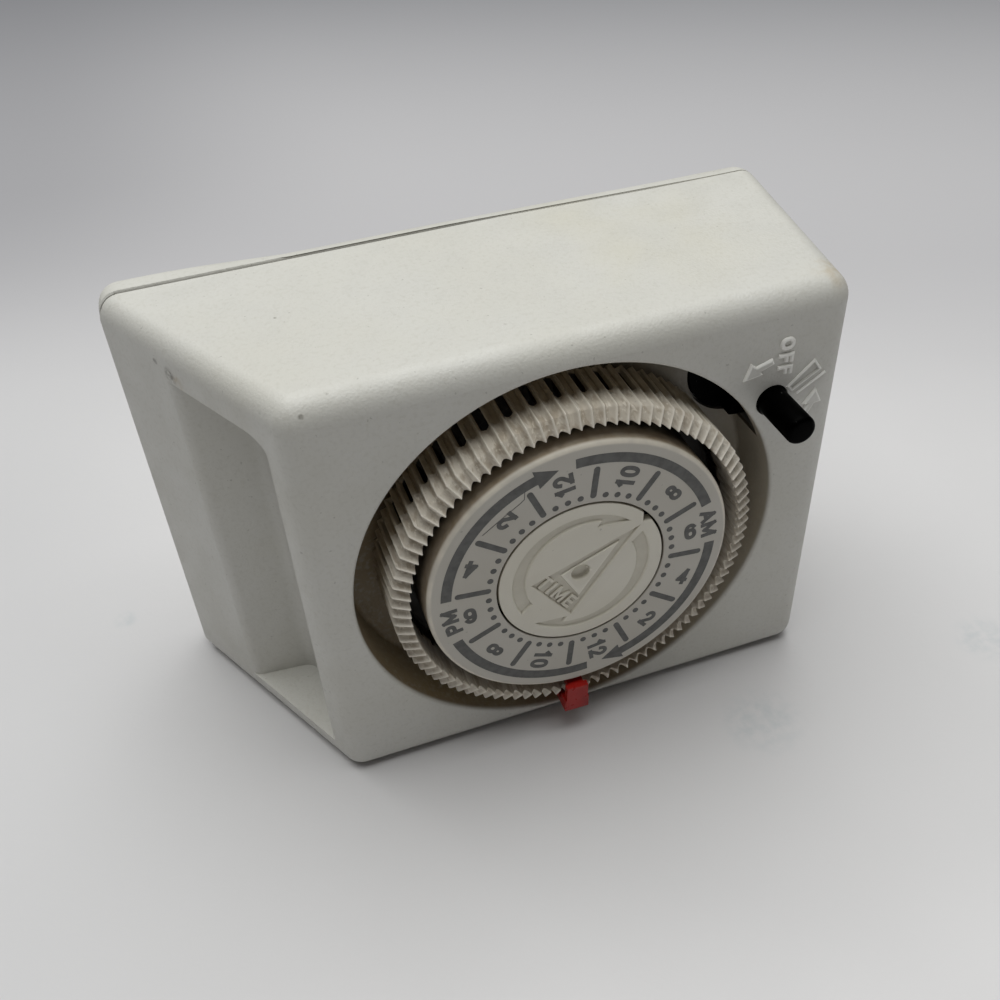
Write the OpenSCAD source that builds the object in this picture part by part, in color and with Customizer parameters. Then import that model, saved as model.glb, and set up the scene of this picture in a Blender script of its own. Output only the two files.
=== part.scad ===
// Plug-in timer switch: a 24-hour dial in a deep round well, a rotary override
// knob beside it, a grounded plug on the back and a socket in the resting side.
// Millimetres, +Z up. The part stands on one long side, dial towards -Y.
// Origin: centre of the long side it stands on.
// "Depth" below always means the distance behind the flat front face, along +Y.

/* [Body] */
// Width across the back edge of the body
back_w = 110.5; // [108:0.5:140]
// Height of the body as it stands
body_h = 76.8; // [76.8:0.2:100]
// Depth from the front face to the back face
body_d = 45.6; // [45:0.2:60]
// How far the front face's left edge sits inside the back's left edge
left_inset = 20.4; // [12:0.2:22]
// How far the front face's right edge sits inside the back's right edge
right_inset = 5.2; // [3:0.2:6]
// Wall thickness of both mouldings
wall = 2.5; // [2:0.1:2.7]
// Radius of the outer edges
edge_r = 3.5; // [3:0.1:4]
// Thickness of the back cover
cover_t = 6.6; // [6:0.1:8]
// Width and depth of the groove between the housing and the cover
groove_w = 0.7; // [0.4:0.1:1]

/* [Finger recess] */
// Depth at which the recess begins, at its crisp front rim
recess_front = 4.3; // [3:0.1:6]
// Depth of the recess's rear wall
recess_rear = 22.8; // [18:0.1:23]
// Height of the recess
recess_h = 64.5; // [40:0.5:66]

/* [Dial] */
// Dial axis, measured right from the middle of the back edge
dial_x = 5.1; // [4:0.1:8]
// Dial axis, measured down from the middle of the body
dial_drop = 0.8; // [0:0.1:1]
// Radius of the well that the dial turns in
well_r = 35; // [30:0.5:35]
// Depth of the well
well_depth = 11; // [10.6:0.1:12]
// Gap between the well and the crests of the dial's ridges
well_gap = 5; // [4.6:0.1:6]
// Height of the ridges on the dial's rim
ridge_h = 0.8; // [0.4:0.1:1]
// Thickness of the rim below its ridges
rim_wall = 1.9; // [1.6:0.1:2.4]
// Width of the channel between the rim and the printed plate
channel_w = 2.3; // [2.2:0.1:3]
// How far the rim stands proud of the front face
rim_proud = 3.8; // [3:0.1:5]
// How far the printed plate stands proud of the front face
plate_proud = 4.2; // [3.6:0.1:5]
// Radius of the fixed hub that carries the time pointer
hub_r = 13.7; // [12:0.1:15]
// Number of ridges round the rim, one every fifteen minutes
ridges = 96; // [48:48:96]
// Turn of the dial's first ridge from the right
dial_turn = 1.6; // [0:0.1:7.5]
// Dial position of the tripper, in degrees from the right
tripper_angle = -92.3; // [-120:0.1:-60]

/* [Override knob] */
// Direction of the knob from the dial axis
trip_angle = 32.5; // [31:0.1:34]
// Radius of the knob
knob_r = 2.4; // [2:0.1:3]
// How far the knob stands proud of the front face
knob_proud = 8.8; // [6:0.1:12]
// Radius of the trip wheel
lobe_r = 8.4; // [8:0.1:8.6]

/* [Gear train] */
// Module of the gears
gear_module = 0.5; // [0.45:0.01:0.52]
// Teeth of the dial gear
dial_teeth = 72; // [66:6:72]
// Teeth of the idler's pinion
idler_pinion_teeth = 12; // [11:1:13]
// Teeth of the idler's wheel
idler_wheel_teeth = 40; // [36:4:40]
// Teeth of the motor pinion
motor_teeth = 10; // [9:1:11]
// Radius of the motor
motor_r = 17; // [14:0.5:17]
// Length of the motor
motor_len = 11; // [8:0.5:11.5]
// Radius of the dial spindle
spindle_r = 2.5; // [2:0.1:3]

/* [Plug and socket] */
// Plug centre line, measured right from the middle of the back
plug_x = 22; // [18:0.5:26]
// Distance between the flat blades
blade_gap = 12.7; // [12.7]
// Distance from the blades to the ground pin
ground_gap = 11.9; // [11.9]
// Width of the line blade
line_w = 6.35; // [6.35]
// Width of the wider neutral blade
neutral_w = 7.9; // [7.9]
// Thickness of the blades
blade_t = 1.5; // [1.5]
// Length of the blades outside the cover
blade_len = 17; // [16:0.5:18]
// Radius of the ground pin
ground_r = 2.4; // [2.4]
// Length of the ground pin outside the cover
ground_len = 20.5; // [19:0.5:21]
// Socket centre line, measured right from the middle of the back
socket_x = -12; // [-13:0.5:-10]

/* [Clearances] */
// Radial running clearance of every bearing
run = 0.05; // [0.03:0.01:0.08]
// Gap between separate mouldings that slide or stand side by side
gap = 0.3; // [0.25:0.05:0.35]

/* [Hidden] */

$fn = 64;
eps = 0.01;
front_y = -body_d / 2;
shell_d = body_d - cover_t;
boss_r = 3.2;
back_r = edge_r - 0.5;
left_angle = atan(left_inset / shell_d);
right_angle = atan(right_inset / shell_d);
dial_z = body_h / 2 - dial_drop;
dial_floor_t = 2;
well_floor_t = 1.8;
well_back = well_depth + well_floor_t;

// Dial sizes, worked inwards from the well
crest_r = well_r - well_gap;
root_r = crest_r - ridge_h;
rim_in_r = root_r - rim_wall;
plate_r = rim_in_r - channel_w;
slot_top = 1.5;
slot_w = 1.0;
dial_base = well_depth - 2;
dial_floor = dial_base - dial_floor_t;
tube_r = 6;
tube_front = -1;
tube_back = 17.4;
skirt_t = 1.2;
plate_t = 1.2;
hub_front = plate_proud;

// Trip wheel: a disc let into the well's floor, with two raised quadrants
trip_reach = crest_r + 2 * gap + lobe_r;
trip_x = dial_x + trip_reach * cos(trip_angle);
trip_z = dial_z + trip_reach * sin(trip_angle);
bay_r = lobe_r + gap;
disc_front = well_depth + 0.2;
disc_back = disc_front + 1.3;
bay_depth = disc_back + gap;
bay_back = bay_depth + 1.2;
lobe_front = disc_front - 2.4;
trip_collar_r = 3.6;
trip_shaft_r = 2;
trip_tail_r = 1.5;
cam_front = 14.2;
cam_len = 5;
cam_r = 5;
cam_half = 3.6;
detent_r = 4.4;
detent_front = cam_front + cam_len;
detent_len = 3;

// Gear train, all in the space between the well's floor and the mechanism plate
idler_reach = gear_module * (dial_teeth + idler_pinion_teeth) / 2;
motor_reach = gear_module * (idler_wheel_teeth + motor_teeth) / 2;
idler_angle = 160;
idler_x = dial_x + idler_reach * cos(idler_angle);
idler_z = dial_z + idler_reach * sin(idler_angle);
motor_x = idler_x - motor_reach;
motor_z = idler_z;
idler_post_r = 1.5;
gear_front = 14;
gear_t = 2;
wheel_front = 18.6;
wheel_t = 1.6;
plate_front = 25.4;
plate_back = 26.8;

// Mechanism plate: edges and the three posts that carry it
plate_left = xl(plate_front) + 18.2;
plate_right = xr(shell_d) - 7.8 - boss_r - 0.7;
plate_low = dial_z - 19;
plate_high = dial_z + 34.4;
post_r = 3;
screw_r = 1.1;
post_reach = well_r - 4;
post_angles = [90, 210, 335];

// Switch above the trip shaft
arm_z = trip_z + cam_r + gap;
arm_t = 0.5;
arm_pivot_x = trip_x - 18;
arm_root_x = arm_pivot_x - 0.9;
arm_tip_x = trip_x + 6.4;
arm_front = 14.6;
arm_w = 4;
contact_r = 1.8;
contact_x = trip_x + 4.2;
contact_travel = 1;
moving_h = 0.7;
fixed_h = 0.8;
fixed_z = arm_z + arm_t + moving_h + contact_travel + fixed_h;

// Plug and socket
plug_z = body_h / 2;
strap_t = 0.6;
strap_depth = 41.5 + (body_d - 45.6);
foot_back = body_d - wall;
socket_front = well_back + 0.8;
socket_depth = socket_front + 6.2;
socket_ground = socket_depth + ground_gap;
socket_w = 34;
socket_len = ground_gap + 10.9;
contact_z = 16.5;
line_socket_x = socket_x + blade_gap / 2;
neutral_socket_x = socket_x - blade_gap / 2;
blade_line_z = plug_z - blade_gap / 2;
blade_neutral_z = plug_z + blade_gap / 2;
ground_x = plug_x - ground_gap;

// Cover screws
cover_screw_r = 1.5;
head_r = 2.9;
screw_spots = [[xl(shell_d) + 13.4, wall + 2.4], [xl(shell_d) + 13.4, body_h - wall - 2.4],
               [xr(shell_d) - 7.8, wall + 2.4], [xr(shell_d) - 7.8, body_h - wall - 2.4]];

// Left and right side faces at a depth
function xl(t) = -back_w / 2 + left_inset * (1 - t / shell_d);
function xr(t) = back_w / 2 - right_inset * (1 - t / shell_d);

// Puts children on the front face at (x, z): local +Z runs into the body, and a
// point at direction a from the right lies at local angle -a.
module at_front(x, z, t = 0) {
    translate([x, front_y + t, z]) rotate([-90, 0, 0]) children();
}

module at_dial(t = 0) { at_front(dial_x, dial_z, t) children(); }

module at_trip(t = 0) { at_front(trip_x, trip_z, t) children(); }

// A box between two depths, given its x and z ranges
module slab(x, t, z) {
    translate([x[0], front_y + t[0], z[0]])
        cube([x[1] - x[0], t[1] - t[0], z[1] - z[0]]);
}

// A strip of sheet between two points of one plane at a depth
module strip(p, q, w, t) {
    slab([min(p[0], q[0]) - w / 2, max(p[0], q[0]) + w / 2], [t, t + strap_t],
         [min(p[1], q[1]) - w / 2, max(p[1], q[1]) + w / 2]);
}

module tube(r_out, r_in, h) {
    difference() {
        cylinder(r = r_out, h = h);
        translate([0, 0, -1]) cylinder(r = r_in, h = h + 2);
    }
}

// Plan outline of the tapered body, drawn in by d and cut at two depths
module plan(d, t0, t1) {
    dl = d / cos(left_angle);
    dr = d / cos(right_angle);
    polygon([[xl(t0) + dl, front_y + t0], [xl(t1) + dl, front_y + t1],
             [xr(t1) - dr, front_y + t1], [xr(t0) - dr, front_y + t0]]);
}

module plan_block(d, t0, t1) {
    translate([0, 0, d]) linear_extrude(body_h - 2 * d) plan(d, t0, t1);
}

// A straight block inside the back cover's outline
module cover_block(d, t0, t1) {
    slab([xl(shell_d) + d, xr(shell_d) - d], [t0, t1], [d, body_h - d]);
}

// Involute spur gear outline
function inv_deg(a) = tan(a) * 180 / PI - a;
function flank_angle(n, rb, r, pressure, slack) =
    90 / n - slack / (gear_module * n) * 180 / PI
    + inv_deg(pressure) - inv_deg(acos(min(1, rb / r)));
function on_circle(r, a) = [r * cos(a), r * sin(a)];

module gear_outline(n, slack = 0.14, pressure = 22) {
    rp = gear_module * n / 2;
    rb = rp * cos(pressure);
    ro = rp + 0.86 * gear_module;
    ri = rp - 1.15 * gear_module;
    r0 = max(rb, ri);
    radii = [r0, (2 * r0 + ro) / 3, (r0 + 2 * ro) / 3, ro];
    polygon([for (i = [0:n - 1])
        let (c = 360 * i / n, root = flank_angle(n, rb, r0, pressure, slack))
        each concat([on_circle(ri, c - root)],
            [for (r = radii) on_circle(r, c - flank_angle(n, rb, r, pressure, slack))],
            [for (k = [3:-1:0]) on_circle(radii[k],
                c + flank_angle(n, rb, radii[k], pressure, slack))],
            [on_circle(ri, c + root)])]);
}

// Pan-headed screw along local +Z, head at the near end
module pan_screw(r, rh, hh, length) {
    difference() {
        union() {
            cylinder(r = rh, h = hh);
            cylinder(r = r, h = length);
        }
        for (a = [0, 90]) rotate([0, 0, a])
            translate([-rh * 0.6, -0.35, -eps]) cube([rh * 1.2, 0.7, hh * 0.5]);
    }
}

// ---- Housing ----

module outer_shell() {
    hull() {
        for (side = [0, 1], z = [edge_r, body_h - edge_r]) {
            x = side == 0 ? xl(edge_r) + edge_r / cos(left_angle)
                          : xr(edge_r) - edge_r / cos(right_angle);
            translate([x, front_y + edge_r, z]) sphere(r = edge_r, $fn = 32);
        }
        for (side = [0, 1], z = [edge_r, body_h - edge_r]) {
            x = side == 0 ? xl(shell_d) + edge_r : xr(shell_d) - edge_r;
            at_front(x, z, shell_d - eps) cylinder(r = edge_r, h = eps, $fn = 32);
        }
    }
}

recess_in_x = xl(recess_front) + 0.9;
recess_z = dial_z - recess_h / 2 - 0.15;

module recess_cut() {
    translate([0, 0, recess_z]) linear_extrude(recess_h)
        polygon([[xl(recess_front), front_y + recess_front],
                 [recess_in_x, front_y + recess_rear],
                 [-back_w / 2 - 5, front_y + recess_rear + 2.1],
                 [-back_w / 2 - 5, front_y + recess_front]]);
}

module cavity() {
    difference() {
        plan_block(wall, wall, shell_d + 1);
        slab([-back_w, recess_in_x + wall], [0, recess_rear + wall + 0.7], [-1, body_h + 1]);
    }
}

module front_housing() color("WhiteSmoke") {
    difference() {
        union() {
            difference() {
                outer_shell();
                cavity();
            }
            at_dial(wall - eps) cylinder(r = well_r + 1.5, h = well_back - wall + eps);
            at_trip(wall - eps) cylinder(r = bay_r + 1.5, h = bay_back - wall + eps);
            for (a = post_angles)
                at_dial(well_back - eps) translate([post_reach * cos(a), -post_reach * sin(a), 0])
                    cylinder(r = post_r, h = plate_front - well_back + eps);
            for (p = screw_spots)
                at_front(p[0], p[1], p[0] < 0 ? recess_rear : well_back)
                    cylinder(r = boss_r, h = shell_d - (p[0] < 0 ? recess_rear : well_back));
        }
        recess_cut();
        at_dial(-1) cylinder(r = well_r, h = well_depth + 1, $fn = 128);
        at_trip(wall) cylinder(r = bay_r, h = bay_depth - wall);
        at_trip(-1) cylinder(r = knob_r + gap, h = wall + 2);
        at_dial(well_depth - 1) cylinder(r = tube_r + 0.6, h = well_floor_t + 2);
        at_trip(bay_depth - 1) cylinder(r = trip_shaft_r + 0.4, h = 4);
        for (a = post_angles)
            at_dial(plate_front - 8) translate([post_reach * cos(a), -post_reach * sin(a), 0])
                cylinder(r = screw_r + run, h = 9);
        for (p = screw_spots)
            at_front(p[0], p[1], shell_d - 10) cylinder(r = cover_screw_r + run, h = 11);
        slab([socket_x - socket_w / 2 - gap / 2, socket_x + socket_w / 2 + gap / 2],
             [socket_front - gap / 2, socket_front + socket_len + gap / 2], [-1, wall + 1]);
    }
}

module back_cover() color("WhiteSmoke") {
    difference() {
        union() {
            hull() {
                for (x = [xl(shell_d) + edge_r, xr(shell_d) - edge_r],
                     z = [edge_r, body_h - edge_r]) {
                    at_front(x, z, shell_d + groove_w)
                        cylinder(r = edge_r, h = cover_t - groove_w - back_r, $fn = 32);
                    for (a = [30, 60, 90])
                        at_front(x, z, body_d - back_r * (1 - sin(a)) - eps)
                            cylinder(r = edge_r - back_r * (1 - cos(a)), h = eps, $fn = 32);
                }
            }
            hull() for (x = [xl(shell_d) + edge_r, xr(shell_d) - edge_r],
                        z = [edge_r, body_h - edge_r])
                at_front(x, z, shell_d) cylinder(r = edge_r - groove_w, h = groove_w + 1, $fn = 32);
            plan_block(wall + 0.15, shell_d - 2, shell_d + 1);
        }
        difference() {
            union() {
                plan_block(wall + 1.6, shell_d - 3, shell_d + 0.5);
                cover_block(wall + 1.6, shell_d, body_d - wall);
            }
            for (p = screw_spots)
                at_front(p[0], p[1], shell_d) cylinder(r = boss_r + 0.8, h = cover_t);
        }
        for (p = screw_spots) {
            at_front(p[0], p[1], shell_d - 2.5) cylinder(r = boss_r + gap, h = 2.5);
            at_front(p[0], p[1], shell_d - 1) cylinder(r = cover_screw_r + 0.1, h = cover_t + 2);
            at_front(p[0], p[1], shell_d + 3.2) cylinder(r = head_r + 0.3, h = cover_t);
        }
        blade_slot(line_w, blade_line_z);
        blade_slot(neutral_w, blade_neutral_z);
        at_front(ground_x, plug_z, shell_d) cylinder(r = ground_r + 0.25 + run, h = cover_t + 1);
    }
}

module blade_slot(w, z) {
    slab([plug_x - w / 2 - run, plug_x + w / 2 + run], [shell_d, body_d + 1],
         [z - blade_t / 2 - run, z + blade_t / 2 + run]);
}

module cover_screws() color("Silver") {
    for (p = screw_spots)
        translate([p[0], front_y + shell_d + 3.2 + 1.8, p[1]]) rotate([90, 0, 0])
            pan_screw(cover_screw_r, head_r, 1.8, 12);
}

// ---- Plug ----

// Flat blade with a bevelled tip and a foot inside the cover
module blade(w, z) {
    difference() {
        union() {
            slab([plug_x - w / 2, plug_x + w / 2], [strap_depth + strap_t, body_d + blade_len],
                 [z - blade_t / 2, z + blade_t / 2]);
            slab([plug_x - w / 2 - 1.2, plug_x + w / 2 + 1.2], [strap_depth + strap_t, foot_back],
                 [z - blade_t / 2 - 1, z + blade_t / 2 + 1]);
        }
        for (s = [-1, 1])
            translate([plug_x + s * w / 2, front_y + body_d + blade_len, z]) rotate([0, 0, 45])
                cube([2.4, 2.4, 4], center = true);
        translate([plug_x, front_y + body_d + blade_len - 4.2, z])
            cylinder(r = 1.6, h = 4, center = true);
    }
}

module line_blade() color("Goldenrod") { blade(line_w, blade_line_z); }

module neutral_blade() color("Goldenrod") { blade(neutral_w, blade_neutral_z); }

module ground_pin() color("Goldenrod") {
    straight = body_d + ground_len - ground_r - strap_depth - strap_t;
    at_front(ground_x, plug_z, strap_depth + strap_t) rotate_extrude() {
        square([ground_r + 1.4, foot_back - strap_depth - strap_t]);
        square([ground_r + 0.25, body_d + gap - strap_depth - strap_t]);
        square([ground_r, straight]);
        intersection() {
            translate([0, straight]) circle(r = ground_r);
            square([ground_r, straight + ground_r]);
        }
    }
}

// ---- Straps from the plug to the switch and the socket ----

line_run_x = xr(well_back) - wall - 1.6;

module line_strap() color("Peru") {
    top = fixed_z + strap_t;
    strip([plug_x, blade_line_z], [line_run_x - 2, blade_line_z], 4, strap_depth);
    strip([line_run_x - 2, blade_line_z], [line_run_x - 2, top - 2], 4, strap_depth);
    slab([line_run_x - strap_t, line_run_x], [arm_front, strap_depth + eps], [top - 4, top]);
    slab([contact_x - 3, line_run_x - strap_t + eps], [arm_front, arm_front + arm_w],
         [fixed_z, top]);
}

module neutral_strap() color("Peru") {
    x = neutral_socket_x;
    strip([x, blade_neutral_z], [plug_x, blade_neutral_z], 4, strap_depth);
    strip([x, contact_z + 2.3], [x, blade_neutral_z], 4, strap_depth);
    slab([x - 2, x + 2], [socket_depth - 3, strap_depth + eps],
         [contact_z + strap_t, contact_z + 2 * strap_t]);
}

module ground_strap() color("Peru") {
    top = contact_z + 4.5;
    strip([ground_x, top + 1.7], [ground_x, plug_z], 4, strap_depth);
    strip([socket_x, top + 1.7], [ground_x, top + 1.7], 4, strap_depth);
    difference() {
        slab([socket_x - 2, socket_x + 2], [socket_ground - 3.4, strap_depth + eps],
             [top, top + strap_t]);
        translate([socket_x, front_y + socket_ground, top - 1]) cylinder(r = 1.2, h = 3);
    }
}

// From the contact arm's root down to the socket's line contact
module load_strap() color("Peru") {
    x = arm_pivot_x - 3;
    depth = plate_front - 3.4;
    slab([x - 2, x + 2], [arm_front, depth + strap_t], [arm_z - strap_t, arm_z]);
    strip([x, contact_z + 3.2], [x, arm_z - 2], 4, depth);
    strip([line_socket_x, contact_z + 3.2], [x, contact_z + 3.2], 4, depth);
    slab([line_socket_x - 2, line_socket_x + 2], [socket_depth - 3, depth + strap_t],
         [contact_z + strap_t, contact_z + 2 * strap_t]);
}

// ---- Socket ----

module receptacle_face() color("White") {
    difference() {
        union() {
            slab([socket_x - socket_w / 2, socket_x + socket_w / 2],
                 [socket_front, socket_front + socket_len], [0, wall + eps]);
            slab([socket_x - socket_w / 2 - 1.5, socket_x + socket_w / 2 + 1.5],
                 [socket_front, socket_front + socket_len], [wall, wall + 1.2]);
            translate([socket_x, front_y + socket_ground, wall]) cylinder(r = 4.4, h = 6);
        }
        socket_slot(line_socket_x, 6.9);
        socket_slot(neutral_socket_x, 8.5);
        translate([socket_x, front_y + socket_ground, -1]) cylinder(r = ground_r + 0.2, h = 12);
    }
}

module socket_slot(x, w) {
    slab([x - 1, x + 1], [socket_depth - w / 2, socket_depth + w / 2], [-1, wall + 3]);
}

// Folded spring clip that grips a blade: two leaves joined at the top
module spring_clip(x) {
    lip = blade_t / 2 + 0.1;
    for (s = [0, 1])
        slab(s == 0 ? [x - lip - strap_t, x - lip] : [x + lip, x + lip + strap_t],
             [socket_depth - 3, socket_depth + 3], [wall + 1.2, contact_z + eps]);
    slab([x - lip - strap_t, x + lip + strap_t], [socket_depth - 3, socket_depth + 3],
         [contact_z, contact_z + strap_t]);
}

module line_contact() color("Peru") { spring_clip(line_socket_x); }

module neutral_contact() color("Peru") { spring_clip(neutral_socket_x); }

module ground_contact() color("Peru") {
    bottom = wall + 6;
    translate([socket_x, front_y + socket_ground, bottom])
        tube(ground_r + 0.9, ground_r + 0.2, contact_z + 4.5 - bottom);
}

// ---- Frame of the mechanism ----

module mechanism_plate() color("Silver") {
    difference() {
        slab([plate_left, plate_right], [plate_front, plate_back],
             [plate_low, plate_high]);
        at_dial(plate_front - 1) cylinder(r = spindle_r + run, h = 4);
        at_front(idler_x, idler_z, plate_front - 1) cylinder(r = idler_post_r + run, h = 4);
        at_front(motor_x, motor_z, plate_front - 1) cylinder(r = 3.2, h = 4);
        at_trip(plate_front - 1) cylinder(r = trip_tail_r + run, h = 4);
        for (a = post_angles)
            at_dial(plate_front - 1) translate([post_reach * cos(a), -post_reach * sin(a), 0])
                cylinder(r = screw_r + 0.2, h = 4);
        motor_screw_holes(plate_front - 1, 4, screw_r + 0.2);
    }
}

module plate_screws() color("Silver") {
    for (a = post_angles)
        at_dial(plate_back + 1.4) translate([post_reach * cos(a), -post_reach * sin(a), 0])
            mirror([0, 0, 1]) pan_screw(screw_r, 2.3, 1.4, 8);
}

// Fixed spindle: carries the dial and ends in the hub
module dial_spindle() color("Silver") {
    at_dial(-hub_front + 1.2) cylinder(r = spindle_r, h = plate_back + hub_front - 1.2);
    at_dial(tube_back + 0.1) cylinder(r = 4.4, h = plate_front - tube_back - 0.1);
}

// ---- Dial ----

// Fixed hub with the raised time pointer
module hub_cap() color("Gainsboro") {
    at_dial(-hub_front) difference() {
        union() {
            cylinder(r = hub_r, h = 1.4);
            cylinder(r = spindle_r + 1.8, h = hub_front + tube_front - gap);
        }
        translate([0, 0, 1.2 - eps]) cylinder(r = spindle_r + 0.02, h = hub_front + 2);
        translate([0, 0, -0.5]) cylinder(r = 1.2, h = 0.9);
    }
}

// Rim, floor and bearing tube in one moulding
module dial_rim() color("Tan") {
    at_dial() rotate([0, 0, -dial_turn]) difference() {
        union() {
            rotate_extrude($fn = 96) {
                polygon([[spindle_r + run, tube_front], [tube_r, tube_front],
                         [tube_r, tube_back], [spindle_r + run, tube_back]]);
                polygon([[tube_r - 1, dial_floor], [rim_in_r, dial_floor],
                         [rim_in_r, slot_top - 0.5], [root_r, slot_top - 0.5],
                         [root_r, dial_base], [tube_r - 1, dial_base]]);
            }
            intersection() {
                translate([0, 0, -rim_proud - 1]) linear_extrude(rim_proud + slot_top + 1)
                    polygon([for (i = [0:ridges - 1], k = [0, 1])
                        on_circle(k == 0 ? crest_r : root_r + 0.05,
                                  (i + 0.5 + k / 2) * 360 / ridges)]);
                rotate_extrude($fn = 96)
                    polygon([[rim_in_r, -rim_proud], [crest_r + 1, -rim_proud + 2.2],
                             [crest_r + 1, slot_top + 1], [rim_in_r, slot_top + 1]]);
            }
        }
        for (i = [0:ridges / 2 - 1])
            rotate([0, 0, i * 720 / ridges])
                translate([rim_in_r - 0.5, -slot_w / 2, slot_top])
                    cube([rim_wall + 2, slot_w, dial_floor - slot_top - 0.4]);
    }
}

// Printed plate: a cap with a rounded edge, its skirt standing on the dial's floor
module dial_plate() color("Gainsboro") {
    edge = 1;
    at_dial() rotate_extrude($fn = 96) difference() {
        union() {
            translate([hub_r + gap, -plate_proud]) square([plate_r - edge - hub_r - gap, plate_t]);
            translate([plate_r - edge, -plate_proud + edge]) circle(r = edge, $fn = 32);
            translate([plate_r - skirt_t, -plate_proud + edge])
                square([skirt_t, dial_floor + plate_proud - edge]);
        }
        translate([plate_r - skirt_t - 1, -plate_proud + plate_t]) square([1, 3]);
    }
}

module dial_gear() color("Ivory") {
    at_dial(gear_front) rotate([0, 0, -idler_angle]) linear_extrude(gear_t) difference() {
        gear_outline(dial_teeth);
        circle(r = tube_r + run);
    }
}

module clutch_spring() color("Silver") {
    at_dial(gear_front + gear_t) tube(tube_r + 3, tube_r + run, 0.5);
}

// Red clip that rides on the rim and turns the switch off
module off_tripper() color("Red") {
    over = rim_proud + gap;
    finger_back = well_depth - gap;
    finger_t = 1.6;
    at_dial() rotate([0, 0, -tripper_angle]) {
        translate([rim_in_r - 1.4, -1.7, -over - 1.1]) cube([2.7 + 1.6, 3.4, 1.1]);
        translate([rim_in_r - 1.4, -1.4, -over - eps]) cube([1.1, 2.8, over + 3]);
        translate([crest_r - 1, -2.3, -over - 0.7]) cube([3.2, 4.6, 1.6]);
        translate([crest_r + gap, -2.3, -over + 0.8]) cube([2.2 - gap, 4.6, 3.4]);
        translate([crest_r + gap, -1.4, -over + 4]) cube([1.3, 2.8, finger_back + over - 4]);
        translate([crest_r + gap, -1.2, finger_back - finger_t]) cube([3.1 - gap, 2.4, finger_t]);
    }
}

// ---- Gears and motor ----

module idler_post() color("Silver") {
    at_front(idler_x, idler_z, well_back + 0.3)
        cylinder(r = idler_post_r, h = plate_back - well_back - 0.3);
}

module idler_gear() color("Ivory") {
    at_front(idler_x, idler_z, gear_front - 0.4) difference() {
        union() {
            rotate([0, 0, -idler_angle + 180 + 180 / idler_pinion_teeth])
                linear_extrude(wheel_front - gear_front + 0.4 + eps) gear_outline(idler_pinion_teeth);
            translate([0, 0, wheel_front - gear_front + 0.4]) linear_extrude(wheel_t)
                gear_outline(idler_wheel_teeth);
            translate([0, 0, wheel_front - gear_front + 0.4])
                cylinder(r = 3, h = plate_front - wheel_front - 0.2);
        }
        translate([0, 0, -1]) cylinder(r = idler_post_r + run, h = plate_front);
    }
}

module motor_pinion() color("Goldenrod") {
    at_front(motor_x, motor_z, wheel_front - 0.6) {
        rotate([0, 0, 180 / motor_teeth]) linear_extrude(wheel_t + 1.2) gear_outline(motor_teeth);
        cylinder(r = 1.2, h = plate_back - wheel_front + motor_len - 0.8);
    }
}

motor_ear = motor_r + 2.6;
ear_angles = [90, 270];

module motor_screw_holes(t, h, r) {
    for (a = ear_angles)
        at_front(motor_x + motor_ear * cos(a), motor_z + motor_ear * sin(a), t)
            cylinder(r = r, h = h);
}

module motor_plate() color("Silver") {
    difference() {
        union() {
            at_front(motor_x, motor_z, plate_back) cylinder(r = motor_r - 0.9, h = 0.8);
            for (a = ear_angles) hull() {
                at_front(motor_x + motor_ear * cos(a), motor_z + motor_ear * sin(a), plate_back)
                    cylinder(r = 2.6, h = 0.8, $fn = 32);
                at_front(motor_x + 10 * cos(a), motor_z + 10 * sin(a), plate_back)
                    cylinder(r = 5, h = 0.8, $fn = 32);
            }
        }
        at_front(motor_x, motor_z, plate_back - 1) cylinder(r = 1.2 + run, h = 3);
        motor_screw_holes(plate_back - 1, 3, screw_r + 0.1);
    }
}

module motor_screws() color("Silver") {
    for (a = ear_angles)
        at_front(motor_x + motor_ear * cos(a), motor_z + motor_ear * sin(a), plate_back + 0.8 + 1.2)
            mirror([0, 0, 1]) pan_screw(screw_r, 2.1, 1.2, 4);
}

module motor_can() color("LightSteelBlue") {
    at_front(motor_x, motor_z, plate_back + 0.8) difference() {
        cylinder(r = motor_r, h = motor_len);
        translate([0, 0, -1]) cylinder(r = motor_r - 0.8, h = motor_len + 0.2);
        translate([motor_r - 3, -3, 4]) cube([6, 6, 3]);
    }
}

module motor_coil() color("SaddleBrown") {
    at_front(motor_x, motor_z, plate_back + 0.8) tube(motor_r - 1.1, 6, motor_len - 1.1);
}

module motor_rotor() color("DimGray") {
    at_front(motor_x, motor_z, plate_back + 2.4)
        tube(5.5, 1.2 + 0.02, motor_len - 4);
}

// Two insulated leads from the coil to the neutral and load sides
module motor_leads() color("Black") {
    start_x = motor_x + motor_r - 0.8;
    depth = plate_back + 0.8 + 5.5;
    for (s = [-1, 1])
        translate([start_x, front_y + depth, motor_z + s * 1.4]) rotate([0, 90, 0])
            cylinder(r = 0.8, h = 11, $fn = 24);
}

// ---- Trip wheel and switch ----

// Disc whose front is cut away over the quadrants towards and away from the dial
module trip_disc() {
    far = 2 * lobe_r;
    difference() {
        at_trip(lobe_front) cylinder(r = lobe_r, h = disc_back - lobe_front);
        for (turn = [0, 180])
            at_trip(lobe_front - 1) rotate([0, 0, -trip_angle - turn])
                linear_extrude(disc_front - lobe_front + 1)
                    polygon([[1, -1], [far, -far], [far, far], [1, 1]]);
    }
}

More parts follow.
